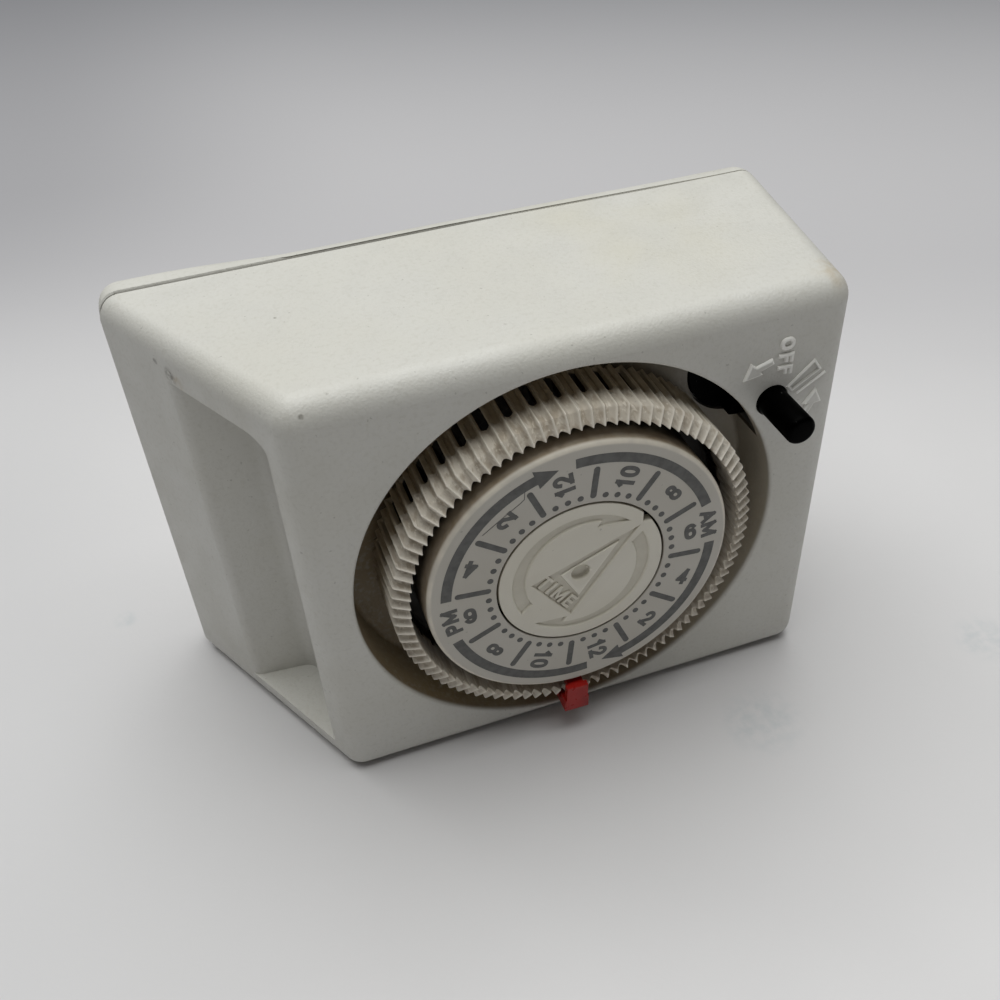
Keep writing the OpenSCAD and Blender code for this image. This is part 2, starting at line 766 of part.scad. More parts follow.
module trip_wheel() color("Black") {
    collar_front = wall + gap;
    at_trip(-knob_proud) cylinder(r = knob_r, h = knob_proud + collar_front + 1);
    at_trip(collar_front) cylinder(r = trip_collar_r, h = disc_front - collar_front + eps);
    trip_disc();
    at_trip(disc_back - eps) cylinder(r = trip_shaft_r, h = detent_front + detent_len - disc_back);
    at_trip(disc_back - eps) cylinder(r = trip_tail_r, h = plate_back + 0.4 - disc_back);
}

// Two-lobed cam that works the contact arm, and the square that the detent rides
module switch_cam() color("Ivory") {
    at_trip(cam_front) difference() {
        union() {
            intersection() {
                cylinder(r = cam_r, h = cam_len);
                translate([-cam_r, -cam_half, -1]) cube([2 * cam_r, 2 * cam_half, cam_len + 2]);
            }
            translate([0, 0, cam_len - eps]) intersection() {
                cylinder(r = detent_r, h = detent_len);
                translate([-cam_half, -cam_half, -1]) cube([2 * cam_half, 2 * cam_half, detent_len + 2]);
            }
        }
        translate([0, 0, -1]) cylinder(r = trip_shaft_r + 0.02, h = cam_len + detent_len + 2);
    }
}

// Leaf spring under the square, screwed foot against the well's floor
module detent_spring() color("Silver") {
    z = trip_z - detent_r - gap;
    x = trip_x - 10;
    slab([x, trip_x + 6], [detent_front + 0.2, detent_front + detent_len - 0.2], [z - 0.4, z]);
    slab([x - 0.4, x + eps], [well_back, detent_front + detent_len - 0.2], [z - 6, z]);
}

module switch_base() color("SaddleBrown") {
    x = arm_pivot_x;
    difference() {
        slab([x - 6, x], [well_back, arm_front + arm_w + 1], [arm_z - 3.5, arm_z + 4.5]);
        slab([x - 7, x + 1], [arm_front - gap, arm_front + arm_w + 2],
             [arm_z - strap_t - 0.02, arm_z + arm_t + 0.15]);
    }
}

module contact_arm() color("Goldenrod") {
    slab([arm_root_x, arm_tip_x], [arm_front, arm_front + arm_w], [arm_z, arm_z + arm_t]);
}

module moving_contact() color("Silver") {
    translate([contact_x, front_y + arm_front + arm_w / 2, arm_z + arm_t])
        cylinder(r = contact_r, h = moving_h);
}

module fixed_contact() color("Silver") {
    translate([contact_x, front_y + arm_front + arm_w / 2, fixed_z - fixed_h])
        cylinder(r = contact_r, h = fixed_h);
}

front_housing();
back_cover();
cover_screws();
receptacle_face();
line_blade();
neutral_blade();
ground_pin();
line_strap();
neutral_strap();
ground_strap();
load_strap();
line_contact();
neutral_contact();
ground_contact();
mechanism_plate();
plate_screws();
dial_spindle();
hub_cap();
dial_rim();
dial_plate();
dial_gear();
clutch_spring();
off_tripper();
idler_post();
idler_gear();
motor_pinion();
motor_plate();
motor_screws();
motor_can();
motor_coil();
motor_rotor();
motor_leads();
trip_wheel();
switch_cam();
detent_spring();
switch_base();
contact_arm();
moving_contact();
fixed_contact();
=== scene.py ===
"""Looks of the plug-in timer switch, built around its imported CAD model.

Every piece is made in the model's own frame. Sizes are in millimetres until a point is
made, and "depth" is the distance behind the flat front face. Front views use u to the
right and v upwards, from the dial's axis.
"""
from math import acos, copysign, cos, hypot, radians, sin, sqrt, tan

import bmesh
import bpy
from mathutils import Matrix, Vector


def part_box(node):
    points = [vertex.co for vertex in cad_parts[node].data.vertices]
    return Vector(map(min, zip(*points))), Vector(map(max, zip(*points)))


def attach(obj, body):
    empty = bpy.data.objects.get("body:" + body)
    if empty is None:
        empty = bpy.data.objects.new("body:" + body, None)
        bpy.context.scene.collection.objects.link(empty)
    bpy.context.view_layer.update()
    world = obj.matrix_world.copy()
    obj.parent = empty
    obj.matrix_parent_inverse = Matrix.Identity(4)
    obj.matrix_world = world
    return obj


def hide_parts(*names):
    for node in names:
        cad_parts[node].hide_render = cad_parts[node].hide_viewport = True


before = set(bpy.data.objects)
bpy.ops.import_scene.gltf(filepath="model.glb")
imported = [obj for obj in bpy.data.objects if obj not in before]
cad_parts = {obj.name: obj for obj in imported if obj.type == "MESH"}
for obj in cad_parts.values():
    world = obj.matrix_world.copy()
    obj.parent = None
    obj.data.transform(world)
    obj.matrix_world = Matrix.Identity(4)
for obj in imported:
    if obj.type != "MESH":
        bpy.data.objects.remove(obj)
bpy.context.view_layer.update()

MM = 0.001

# ---- Places and sizes taken from the frame ----

shell_low, shell_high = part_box("front_housing")
FRONT = shell_low.y / MM
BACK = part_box("back_cover")[1].y / MM


def middle(node):
    """Middle of a node's box across and up, in mm."""
    low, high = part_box(node)
    return ((low.x + high.x) / 2 / MM, (low.z + high.z) / 2 / MM)


def half_width(node):
    """Radius of a round node, in mm."""
    low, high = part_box(node)
    return round((high.x - low.x) / 2 / MM, 1)


def depths(node):
    """Depths of a node's foremost and rearmost points, in mm."""
    return tuple(round(corner.y / MM - FRONT, 2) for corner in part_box(node))


DIAL = middle("dial_plate")
KNOB = middle("trip_wheel")
PLATE_R, CREST_R = half_width("dial_plate"), half_width("dial_rim")
HUB_R, LOBE_R = half_width("hub_cap"), half_width("trip_wheel")
PLATE_FACE, DIAL_FLOOR = depths("dial_plate")
RIM_FACE, RIM_BACK = depths("dial_rim")
HUB_FACE, HUB_BACK = depths("hub_cap")
KNOB_END, TRIP_TAIL_END = depths("trip_wheel")
SHELL_D = depths("front_housing")[1]
BODY_H = (shell_high.z - shell_low.z) / MM
BACK_LEFT, BACK_RIGHT = shell_low.x / MM, shell_high.x / MM


def point(u, v, depth, origin=DIAL):
    """Frame point, in metres, of a front-view point behind the front face."""
    return Vector(((origin[0] + u) * MM, (FRONT + depth) * MM, (origin[1] + v) * MM))


def polar(r, degrees):
    a = radians(degrees)
    return (r * cos(a), r * sin(a))


def arc(r, start, end, steps, centre=(0, 0)):
    """Points of an arc about a centre, both ends included."""
    turn = (end - start) / steps
    points = [polar(r, start + turn * k) for k in range(steps + 1)]
    return [(centre[0] + x, centre[1] + y) for x, y in points]


def turned(points, degrees, centre=(0, 0)):
    """Points turned about a centre."""
    c, s = polar(1, degrees)
    moved = [(x - centre[0], y - centre[1]) for x, y in points]
    return [(centre[0] + c * x - s * y, centre[1] + s * x + c * y) for x, y in moved]


# ---- Materials ----

class Finish:
    """A node material with one Principled shader, built up by short calls."""

    def __init__(self, name, colour, roughness, coat=0.0, metallic=0.0, specular=0.5):
        self.material = bpy.data.materials.new(name)
        self.material.use_nodes = True
        self.tree = self.material.node_tree
        self.shader = self.tree.nodes["Principled BSDF"]
        for key, value in (("Roughness", roughness), ("Metallic", metallic),
                           ("Coat Weight", coat), ("Specular IOR Level", specular)):
            self.shader.inputs[key].default_value = value
        self.place = self.add("TexCoord").outputs["Object"]
        self.colour = (*colour, 1.0)
        self.height = None

    def add(self, kind, **inputs):
        node = self.tree.nodes.new("ShaderNode" + kind)
        for key, value in inputs.items():
            self.feed(node.inputs[key], value)
        return node

    def feed(self, socket, value):
        if isinstance(value, bpy.types.NodeSocket):
            self.tree.links.new(value, socket)
        else:
            socket.default_value = value

    def noise(self, scale, detail=2.0, stretch=(1, 1, 1), shift=0.0):
        """Noise of about 1/scale metres, from 0 to 1."""
        moved = self.add("Mapping", Vector=self.place, Scale=stretch,
                         Location=(shift, shift * 0.7, -shift))
        return self.add("TexNoise", Vector=moved.outputs[0], Scale=scale,
                        Detail=detail).outputs[0]

    def ramp(self, value, low, high, out_low=0.0, out_high=1.0):
        """Smooth change from one output to another as a value goes from low to high."""
        node = self.add("MapRange")
        node.interpolation_type = "SMOOTHSTEP"
        for socket, number in zip(node.inputs[:5], (value, low, high, out_low, out_high)):
            self.feed(socket, number)
        return node.outputs[0]

    def patches(self, scale, detail, low, high, out_low=0.0, out_high=1.0, **noise):
        """Noise sharpened into patches."""
        return self.ramp(self.noise(scale, detail, **noise), low, high, out_low, out_high)

    def maths(self, operation, a, b=0.0):
        node = self.add("Math")
        node.operation = operation
        self.feed(node.inputs[0], a)
        self.feed(node.inputs[1], b)
        return node.outputs[0]

    def times(self, a, b):
        return self.maths("MULTIPLY", a, b)

    def paint(self, colour, mask):
        """Lays a colour over what is there, where the mask is 1."""
        node = self.add("Mix")
        node.data_type = "RGBA"
        for socket, value in ((0, mask), (6, self.colour), (7, (*colour, 1.0))):
            self.feed(node.inputs[socket], value)
        self.colour = node.outputs[2]

    def crevices(self, reach, low, high):
        """1 in corners and narrow gaps, 0 in the open."""
        node = self.add("AmbientOcclusion", Distance=reach * MM)
        node.samples = 8
        return self.ramp(node.outputs["AO"], low, high, 1.0, 0.0)

    def edges(self, reach, low, high):
        """1 on outer edges, 0 on flat faces."""
        node = self.add("AmbientOcclusion", Distance=reach * MM)
        node.samples = 6
        node.inside = True
        return self.ramp(node.outputs["AO"], low, high)

    def worn(self, low, high):
        """1 on convex mesh edges, or in concave ones where low is above high."""
        node = self.add("NewGeometry")
        return self.ramp(node.outputs["Pointiness"], low, high)

    def spot(self, centre, radius, scale):
        """A ragged mark round a frame point, 1 at its middle."""
        away = self.add("VectorMath")
        away.operation = "DISTANCE"
        self.feed(away.inputs[0], self.place)
        away.inputs[1].default_value = centre
        near = self.ramp(away.outputs["Value"], radius * MM * 0.3, radius * MM, 1.0, 0.0)
        return self.times(near, self.patches(scale, 2.0, 0.25, 0.75))

    def along(self, axis):
        """Place on one frame axis, in metres: 0 across, 1 in depth, 2 up."""
        return self.add("SeparateXYZ", Vector=self.place).outputs[axis]

    def radius(self, centre):
        """Distance from the depth axis through a front-view point."""
        across = self.maths("SUBTRACT", self.along(0), centre[0] * MM)
        up = self.maths("SUBTRACT", self.along(2), centre[1] * MM)
        return self.maths("SQRT", self.maths("ADD", self.times(across, across),
                                             self.times(up, up)))

    def past(self, near, far):
        """0 in front of one depth in mm, 1 behind another."""
        return self.ramp(self.along(1), (FRONT + near) * MM, (FRONT + far) * MM)

    def bump(self, value, height):
        """Adds a relief of so many mm."""
        node = self.add("Bump", Distance=height * MM, Height=value)
        if self.height is not None:
            self.feed(node.inputs["Normal"], self.height)
        self.height = node.outputs[0]

    def rough(self, scale, detail, low, high):
        """Roughness that follows a noise."""
        self.feed(self.shader.inputs["Roughness"], self.patches(scale, detail, 0.3, 0.7, low, high))

    def done(self):
        self.feed(self.shader.inputs["Base Color"], self.colour)
        self.feed(self.shader.inputs["Normal"], self.height)
        return self.material


def moulded(name, colour, tint, grime_and_shade, roughness, grain, corner_reach, corner_share=(0.25, 0.85),
            extra=None):
    """Moulded plastic: slow change of tone, fine spark-eroded grain, brown soiling and painted
    shade in the corners.
    """
    f = Finish(name, colour, roughness)
    f.paint(tint, f.patches(45, 3, 0.35, 0.75, 0.0, 0.5))
    f.paint(tuple(c * 0.55 for c in tint), f.patches(1300, 1, 0.74, 0.80, 0.0, 0.5, shift=3))
    if extra:
        extra(f)
    # Partly brown soiling, partly painted shade: the corner colour is laid where ambient occlusion
    # finds corners and narrow gaps.
    corner = f.crevices(corner_reach, *corner_share)
    f.paint(grime_and_shade, f.times(corner, f.patches(260, 4, 0.25, 0.75, 0.45, 1.0)))
    f.rough(180, 3, roughness - 0.05, roughness + 0.1)
    f.bump(f.noise(2600), grain)
    f.bump(f.noise(350), grain * 0.8)
    return f.done()


def metal(name, colour, tarnish, roughness):
    """Bare metal: tarnish in patches and corners, bright edges and a fine grain."""
    f = Finish(name, colour, roughness, metallic=1.0)
    f.paint(tarnish, f.patches(140, 4, 0.45, 0.8, 0.0, 0.7))
    f.paint(tuple(c * 0.4 for c in tarnish), f.crevices(1.0, 0.2, 0.7))
    f.paint(tuple(min(1.0, c * 1.25) for c in colour), f.edges(0.3, 0.55, 0.95))
    f.rough(700, 3, roughness - 0.08, roughness + 0.12)
    f.bump(f.noise(2400), 0.006)
    return f.done()


# ---- Mesh building ----

def skin(bm, rings, around=False):
    """Faces from ring to ring of points, with both ends closed unless the rings go round."""
    rings = [[bm.verts.new(place) for place in ring] for ring in rings]
    for near, far in zip(rings, rings[1:] + rings[:1] if around else rings[1:]):
        for i in range(len(near)):
            j = (i + 1) % len(near)
            bm.faces.new((near[i], far[i], far[j], near[j]))
    if not around:
        bm.faces.new(rings[0])
        bm.faces.new(rings[-1][::-1])


def prism(bm, outline, near, far, origin=DIAL):
    """Straight block of an outline between two depths."""
    skin(bm, [[point(u, v, depth, origin) for u, v in outline] for depth in (near, far)])


def spoke(bm, profile, degrees, origin=DIAL):
    """Vertices of a profile of (radius, depth) on one radius."""
    c, s = polar(1, degrees)
    return [bm.verts.new(point(r * c, r * s, d, origin)) for r, d in profile]


def lathe(bm, profile, steps=192, origin=DIAL):
    """Solid of revolution about the depth axis; profile is a closed loop of (radius, depth)."""
    spokes = [spoke(bm, profile, 360 * k / steps, origin) for k in range(steps)]
    for here, there in zip(spokes, spokes[1:] + spokes[:1]):
        for i in range(len(profile)):
            j = (i + 1) % len(profile)
            if profile[i][0] > 0 or profile[j][0] > 0:
                bm.faces.new((here[i], here[j], there[j], there[i]))
    bmesh.ops.remove_doubles(bm, verts=bm.verts, dist=1e-8)


def to_mesh(bm, name):
    mesh = bpy.data.meshes.new(name)
    bmesh.ops.recalc_face_normals(bm, faces=bm.faces)
    bm.to_mesh(mesh)
    bm.free()
    return mesh


def new_object(name, data):
    """An object in the scene."""
    obj = bpy.data.objects.new(name, data)
    bpy.context.scene.collection.objects.link(obj)
    return obj


def scratch(bm):
    """A scratch object of a bmesh."""
    return new_object("tool", to_mesh(bm, "tool"))


def solid(build, *args):
    """A scratch object for cutting with, made by one of the builders."""
    bm = bmesh.new()
    build(bm, *args)
    return scratch(bm)


def combine(base, operation, tools):
    """Cuts with or joins each tool in turn, and removes it."""
    for tool in tools:
        change = base.modifiers.new("change", "BOOLEAN")
        change.operation = operation
        change.object = tool
        change.solver = "EXACT"
        bpy.context.view_layer.update()
        view = bpy.context.evaluated_depsgraph_get()
        mesh = bpy.data.meshes.new_from_object(base.evaluated_get(view))
        base.modifiers.clear()
        base.data = mesh
        bpy.data.objects.remove(tool)
    return base


def cut(base, *tools):
    return combine(base, "DIFFERENCE", tools)


def join(base, *tools):
    return combine(base, "UNION", tools)


def dress(obj, material):
    """Gives an object one material."""
    obj.data.materials.clear()
    obj.data.materials.append(material)
    return obj


def piece(name, source, material, body, replaces=(), crease=32):
    """Turns a bmesh or a scratch object into a finished piece that rides on a body."""
    obj = scratch(source) if isinstance(source, bmesh.types.BMesh) else source
    obj.name = name
    obj.data.name = name
    obj.data.shade_smooth()
    obj.data.set_sharp_from_angle(angle=radians(crease))
    dress(obj, material)
    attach(obj, body)
    if replaces:
        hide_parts(*replaces)
    return obj


def soften(obj, width, segments=2, angle=35):
    """Rounds every edge sharper than an angle."""
    rounding = obj.modifiers.new("rounding", "BEVEL")
    rounding.width = width * MM
    rounding.segments = segments
    rounding.limit_method = "ANGLE"
    rounding.angle_limit = radians(angle)
    rounding.harden_normals = True


def ribbon(bm, path, width, near, far, closed=False, edge=0.0, grow=0.0):
    """Raised stroke along a centre line; edge eases its upper rims, grow widens its foot."""
    sharpest = 0.45
    half = width / 2
    section = [(half + grow, far), (half, near + edge)] + ([(half - edge, near)] if edge else [])
    stations = []
    for k, (u, v) in enumerate(path):
        here = Vector((u, v))
        before = Vector(path[k - 1]) if k or closed else here
        after = Vector(path[(k + 1) % len(path)]) if k < len(path) - 1 or closed else here
        into, onward = (here - before).normalized(), (after - here).normalized()
        way = (into + onward).normalized()
        lean = max(sharpest, way.dot(onward if onward.length else into))
        side = Vector((-way.y, way.x)) / lean
        loop = [(here + side * s, d) for s, d in section]
        loop += [(here - side * s, d) for s, d in section[::-1]]
        stations.append([point(p.x, p.y, d) for p, d in loop])
    skin(bm, stations, closed)


def oval(cx, cy, rx, ry, start=0, end=360, steps=24, square=2.3):
    """Arc of a slightly squared oval; a full turn leaves out the repeated end."""
    count = steps if abs(end - start) >= 360 else steps + 1
    points = []
    for k in range(count):
        c, s = polar(1, start + (end - start) * k / steps)
        x = copysign(abs(c) ** (2 / square), c)
        y = copysign(abs(s) ** (2 / square), s)
        points.append((cx + rx * x, cy + ry * y))
    return points


# Strokes of each character in a unit box: its closed loops, then its open lines
LOOPS = {"0": [oval(0.5, 0.5, 0.5, 0.5)], "O": [oval(0.5, 0.5, 0.5, 0.5)],
         "6": [oval(0.5, 0.31, 0.5, 0.31)],
         "8": [oval(0.5, 0.77, 0.42, 0.23), oval(0.5, 0.27, 0.5, 0.27)]}
LINES = {
    "1": [[(0.9, 0), (0.9, 1)], [(0.75, 0.94), (0, 0.76)]],
    "2": [oval(0.5, 0.7, 0.5, 0.3, 172, -40, 14, 2.0) + [(0.46, 0.26), (0.08, 0.02)],
          [(0, 0), (1, 0)]],
    "4": [[(0.74, 0), (0.74, 1)], [(0.72, 1), (0, 0.28)], [(0, 0.26), (1, 0.26)]],
    "6": [oval(0.56, 0.48, 0.56, 0.52, 180, 42, 12)],
    "A": [[(0, 0), (0.5, 1)], [(0.5, 1), (1, 0)], [(0.2, 0.3), (0.8, 0.3)]],
    "E": [[(1, 1), (0, 1), (0, 0), (1, 0)], [(0, 0.5), (0.9, 0.5)]],
    "F": [[(1, 1), (0, 1), (0, -0.1)], [(0, 0.5), (0.85, 0.5)]],
    "I": [[(0.5, 0), (0.5, 1)]],
    "M": [[(0, 0), (0, 1)], [(0, 1), (0.5, 0.15)], [(0.5, 0.15), (1, 1)], [(1, 1), (1, 0)]],
    "P": [[(0, 0), (0, 1)], [(0, 1), (0.6, 1)] + oval(0.6, 0.73, 0.4, 0.27, 80, -80, 10)
          + [(0.6, 0.46), (0, 0.46)]],
    "T": [[(0, 1), (1, 1)], [(0.5, 1), (0.5, 0)]],
}
STROKE_STEP = 0.004


def axes(up):
    """Unit directions to the right of a way up, and along it."""
    length = hypot(*up)
    return (up[1] / length, -up[0] / length), (up[0] / length, up[1] / length)


def letter(bm, character, centre, up, size, stroke, near, far, edge=0.0, grow=0.0):
    """One character that fills a box of size (width, height) round a centre."""
    right, up = axes(up)
    width, height = size[0] - stroke, size[1] - stroke
    loops = LOOPS.get(character, [])
    for k, path in enumerate(loops + LINES.get(character, [])):
        closed = k < len(loops)
        placed = []
        for i, (x, y) in enumerate(path):
            across, rise = (x - 0.5) * width, (y - 0.5) * height
            if not closed and i in (0, len(path) - 1):
                other = path[1] if i == 0 else path[-2]
                dx, dy = (x - other[0]) * width, (y - other[1]) * height
                reach = stroke / 2 / hypot(dx, dy)
                across, rise = across + dx * reach, rise + dy * reach
            placed.append((centre[0] + across * right[0] + rise * up[0],
                           centre[1] + across * right[1] + rise * up[1]))
        ribbon(bm, placed, stroke, near - k * STROKE_STEP, far, closed, edge, grow)


def wrap(bm, points):
    """Convex solid round a set of frame points."""
    found = bmesh.ops.convex_hull(bm, input=[bm.verts.new(p) for p in points])
    spare = {v for v in found["geom_interior"] + found["geom_unused"]
             if isinstance(v, bmesh.types.BMVert)}
    bmesh.ops.delete(bm, geom=list(spare), context="VERTS")
    bmesh.ops.dissolve_limit(bm, angle_limit=radians(0.2), verts=bm.verts, edges=bm.edges)


def corner_at(outline, k):
    """A corner of a closed outline, with the directions into it and on from it."""
    here = Vector(outline[k])
    into = (here - Vector(outline[k - 1])).normalized()
    onward = (Vector(outline[(k + 1) % len(outline)]) - here).normalized()
    return here, into, onward


def eased(points, radii, steps=6):
    """Closed outline with each corner rounded by its own radius."""
    outline = []
    for k, radius in enumerate(radii):
        if not radius:
            outline.append(points[k])
            continue
        here, into, onward = corner_at(points, k)
        half = acos(max(-1.0, min(1.0, -into.dot(onward)))) / 2
        reach = radius / tan(half)
        centre = here + (onward - into).normalized() * (radius / sin(half))
        first, last = here - into * reach - centre, here + onward * reach - centre
        sweep = first.angle_signed(last)
        for i in range(steps + 1):
            turn = Matrix.Rotation(-sweep * i / steps, 2)
            outline.append(tuple(centre + turn @ first))
    return outline


def swell(outline, distance):
    """Outline moved outwards by a distance, or inwards where it is negative."""
    area = sum(a[0] * b[1] - b[0] * a[1] for a, b in zip(outline, outline[1:] + outline[:1]))
    sign, sharpest = copysign(1, area), 0.35
    moved = []
    for k in range(len(outline)):
        here, into, onward = corner_at(outline, k)
        way = (into + onward).normalized()
        reach = sign * distance / max(sharpest, way.dot(onward))
        moved.append((here.x + way.y * reach, here.y - way.x * reach))
    return moved


def stack(bm, outline, levels):
    """Block through several depths; levels hold (depth, how far the outline is moved out)."""
    skin(bm, [[point(u, v, depth) for u, v in swell(outline, out)] for depth, out in levels])


def rectangle(x0, y0, x1, y1):
    return [(x0, y0), (x1, y0), (x1, y1), (x0, y1)]


# ---- Dial rim ----

RIM_IN_R = 27.3
RIDGE_RISE = 0.8
ROOT_R = CREST_R - RIDGE_RISE
SLOTS = 48
RIDGE_PITCH = 360 / (2 * SLOTS)
FIRST_ROOT = 1.6
SLOT_HALF = 1.4
POCKET_HALF, POCKET_R = 0.95, 29.1
VALLEY = 1.1
SLOT_FRONT = 2.4
SLOT_IN_BACK, SLOT_OUT_BACK = 6.6, 8.4
BORE_R = 2.55
TUBE_R = 6.0
TUBE_FRONT = -1.0
RIM_BASE = DIAL_FLOOR + 2


def ridge_columns():
    """Columns round the rim: angle, rise from root 0 to crest 1, and whether in a pocket."""
    crest_flat, lip, cusp, rib_step, pocket_step = 0.1, 0.03, 1.7, 0.75, 0.45
    half = RIDGE_PITCH / 2
    pocket = [-POCKET_HALF, -POCKET_HALF + lip, -pocket_step, 0.0, pocket_step,
              POCKET_HALF - lip, POCKET_HALF]
    offsets = [-SLOT_HALF, -rib_step, 0.0, rib_step, SLOT_HALF]
    offsets += [half - crest_flat, half + crest_flat, RIDGE_PITCH - SLOT_HALF]
    offsets += [RIDGE_PITCH + p for p in pocket + [SLOT_HALF]]
    offsets += [3 * half - crest_flat, 3 * half + crest_flat]
    in_pocket = [RIDGE_PITCH + p for p in pocket[1:-1]]
    columns = []
    for slot_number in range(SLOTS):
        start = FIRST_ROOT + slot_number * 2 * RIDGE_PITCH
        for offset in offsets:
            from_root = abs((offset + half) % RIDGE_PITCH - half)
            rise = min(1.0, from_root / (half - crest_flat)) ** cusp
            columns.append((start + offset, rise, offset in in_pocket))
    return columns, len(offsets)


def rim_profile(rise, pocket):
    """Closed section of the rim moulding at a column, with the slot's two ends on each wall."""
    shoulder_rise = 0.85
    front = RIM_FACE + VALLEY * (1 - rise)
    shoulder = RIM_FACE + shoulder_rise * (1 - rise)
    crest = ROOT_R + RIDGE_RISE * rise
    wall = POCKET_R if pocket else crest
    return [
        (BORE_R, RIM_BACK), (BORE_R, TUBE_FRONT), (TUBE_R, TUBE_FRONT), (TUBE_R, DIAL_FLOOR),
        (RIM_IN_R - 0.4, DIAL_FLOOR), (RIM_IN_R, DIAL_FLOOR - 0.25), (RIM_IN_R, SLOT_IN_BACK),
        (RIM_IN_R, SLOT_FRONT), (RIM_IN_R, front + 0.2), (RIM_IN_R + 0.04, front + 0.05),
        (RIM_IN_R + 0.15, front), (crest - 0.35, shoulder + 1.15), (crest - 0.1, shoulder + 1.32),
        (crest, shoulder + 1.6), (crest, SLOT_FRONT - 0.05), (wall, SLOT_FRONT),
        (wall, SLOT_OUT_BACK), (wall, RIM_BASE - 0.3), (wall - 0.3, RIM_BASE),
        (TUBE_R, RIM_BASE), (TUBE_R, RIM_BACK),
    ]


def rim_mesh():
    """The rim with its V ridges; past them slots and blind pockets part the ribs in turn."""
    inner_front, inner_back, outer_front, outer_back = 7, 6, 15, 16
    slot_spans = 4
    bm = bmesh.new()
    columns, per_slot = ridge_columns()
    rings = [spoke(bm, rim_profile(rise, pocket), angle) for angle, rise, pocket in columns]
    for k, (here, there) in enumerate(zip(rings, rings[1:] + rings[:1])):
        in_slot = k % per_slot < slot_spans
        for i in range(len(here)):
            j = (i + 1) % len(here)
            if not (in_slot and i in (inner_back, outer_front)):
                bm.faces.new((here[i], here[j], there[j], there[i]))
        if in_slot:
            for a, b in ((inner_front, outer_front), (inner_back, outer_back)):
                bm.faces.new((here[a], here[b], there[b], there[a]))
    for k in range(0, len(columns), per_slot):
        for side in (rings[k], rings[k + slot_spans]):
            bm.faces.new((side[inner_front], side[outer_front], side[outer_back],
                          side[inner_back]))
    return bm


# ---- Body ----

ALONG = (0, 0)
LEFT_INSET, RIGHT_INSET = 20.4, 5.2
WALL = 2.5
GAP = 0.3
GROOVE_DEPTH = 0.3
TOP_EDGE_R, LOW_EDGE_R, REAR_EDGE_R, CAP_END_R = 4.2, 3.7, 3.5, 4.2
WELL_R, WELL_DEPTH, WELL_FLOOR = 35, 11, 1.8
BAY_R, BAY_DEPTH, BAY_WALL = LOBE_R + GAP, 12.8, 1.2
POSTS = [(DIAL[0] + u, DIAL[1] + v) for u, v in (polar(WELL_R - 4, a) for a in (90, 210, 335))]
POST_R, POST_END = 3, 25.4
SCREW_BOSS_R, SCREW_HEAD_R = 3.2, 3.2
SCREWS = [(x, z) for x in (BACK_LEFT + 13.4, BACK_RIGHT - 7.8) for z in (4.9, BODY_H - 4.9)]
PLUG_X, PLUG_Z = 22, BODY_H / 2
BLADE_APART, BLADE_HALF_T, BLADE_HALF_WIDTHS, GROUND_AWAY = 12.7, 0.8, (3.225, 4.0), 11.9
SOCKET_WINDOW = (-29.15, 13.45, 5.15, 36.55)
RECESS_FRONT, RECESS_REAR = 4.3, 22.8
RECESS_LOW, RECESS_HIGH = DIAL[1] - 32.5, DIAL[1] + 32.0


def left_x(depth):
    return BACK_LEFT + LEFT_INSET * (1 - depth / SHELL_D)


def right_x(depth):
    return BACK_RIGHT - RIGHT_INSET * (1 - depth / SHELL_D)


LEFT_LEAN = hypot(1, LEFT_INSET / SHELL_D)
RIGHT_LEAN = hypot(1, RIGHT_INSET / SHELL_D)
RECESS_IN = left_x(RECESS_FRONT) + 0.9


def upright(bm, outline, low, high):
    """Straight block of a plan outline of (x, depth) between two heights."""
    skin(bm, [[point(x, z, d, ALONG) for x, d in outline] for z in (low, high)])


def rods(bm, places, r, near, far, steps=32):
    """Round bars along the depth axis."""
    for place in places:
        lathe(bm, [(0, near), (r, near), (r, far), (0, far)], steps, place)


def body_plan(inset, near, far):
    """Tapered plan of the body drawn in by an inset, cut at two depths."""
    left, right = inset * LEFT_LEAN, inset * RIGHT_LEAN
    return [(left_x(near) + left, near), (left_x(far) + left, far),
            (right_x(far) - right, far), (right_x(near) - right, near)]


def disc(x, z, depth, r):
    """Frame points of a circle facing the front."""
    return [point(x + u, z + v, depth, ALONG) for u, v in arc(r, 0, 360, 48)[:-1]]


def ball(x, z, depth, r):
    """Frame points of a ball."""
    return [place for reach, rise in arc(r, -90, 90, 24)
            for place in disc(x, z, depth + rise, reach)]


def shell_block(bm):
    """Body's outer shape: round front corners that run back to the rear edge."""
    points = []
    for z, r in ((LOW_EDGE_R, LOW_EDGE_R), (BODY_H - TOP_EDGE_R, TOP_EDGE_R)):
        points += ball(left_x(r) + r * LEFT_LEAN, z, r, r)
        points += ball(right_x(r) - r * RIGHT_LEAN, z, r, r)
    for x in (BACK_LEFT + REAR_EDGE_R, BACK_RIGHT - REAR_EDGE_R):
        for z in (REAR_EDGE_R, BODY_H - REAR_EDGE_R):
            points += disc(x, z, SHELL_D, REAR_EDGE_R)
    wrap(bm, points)


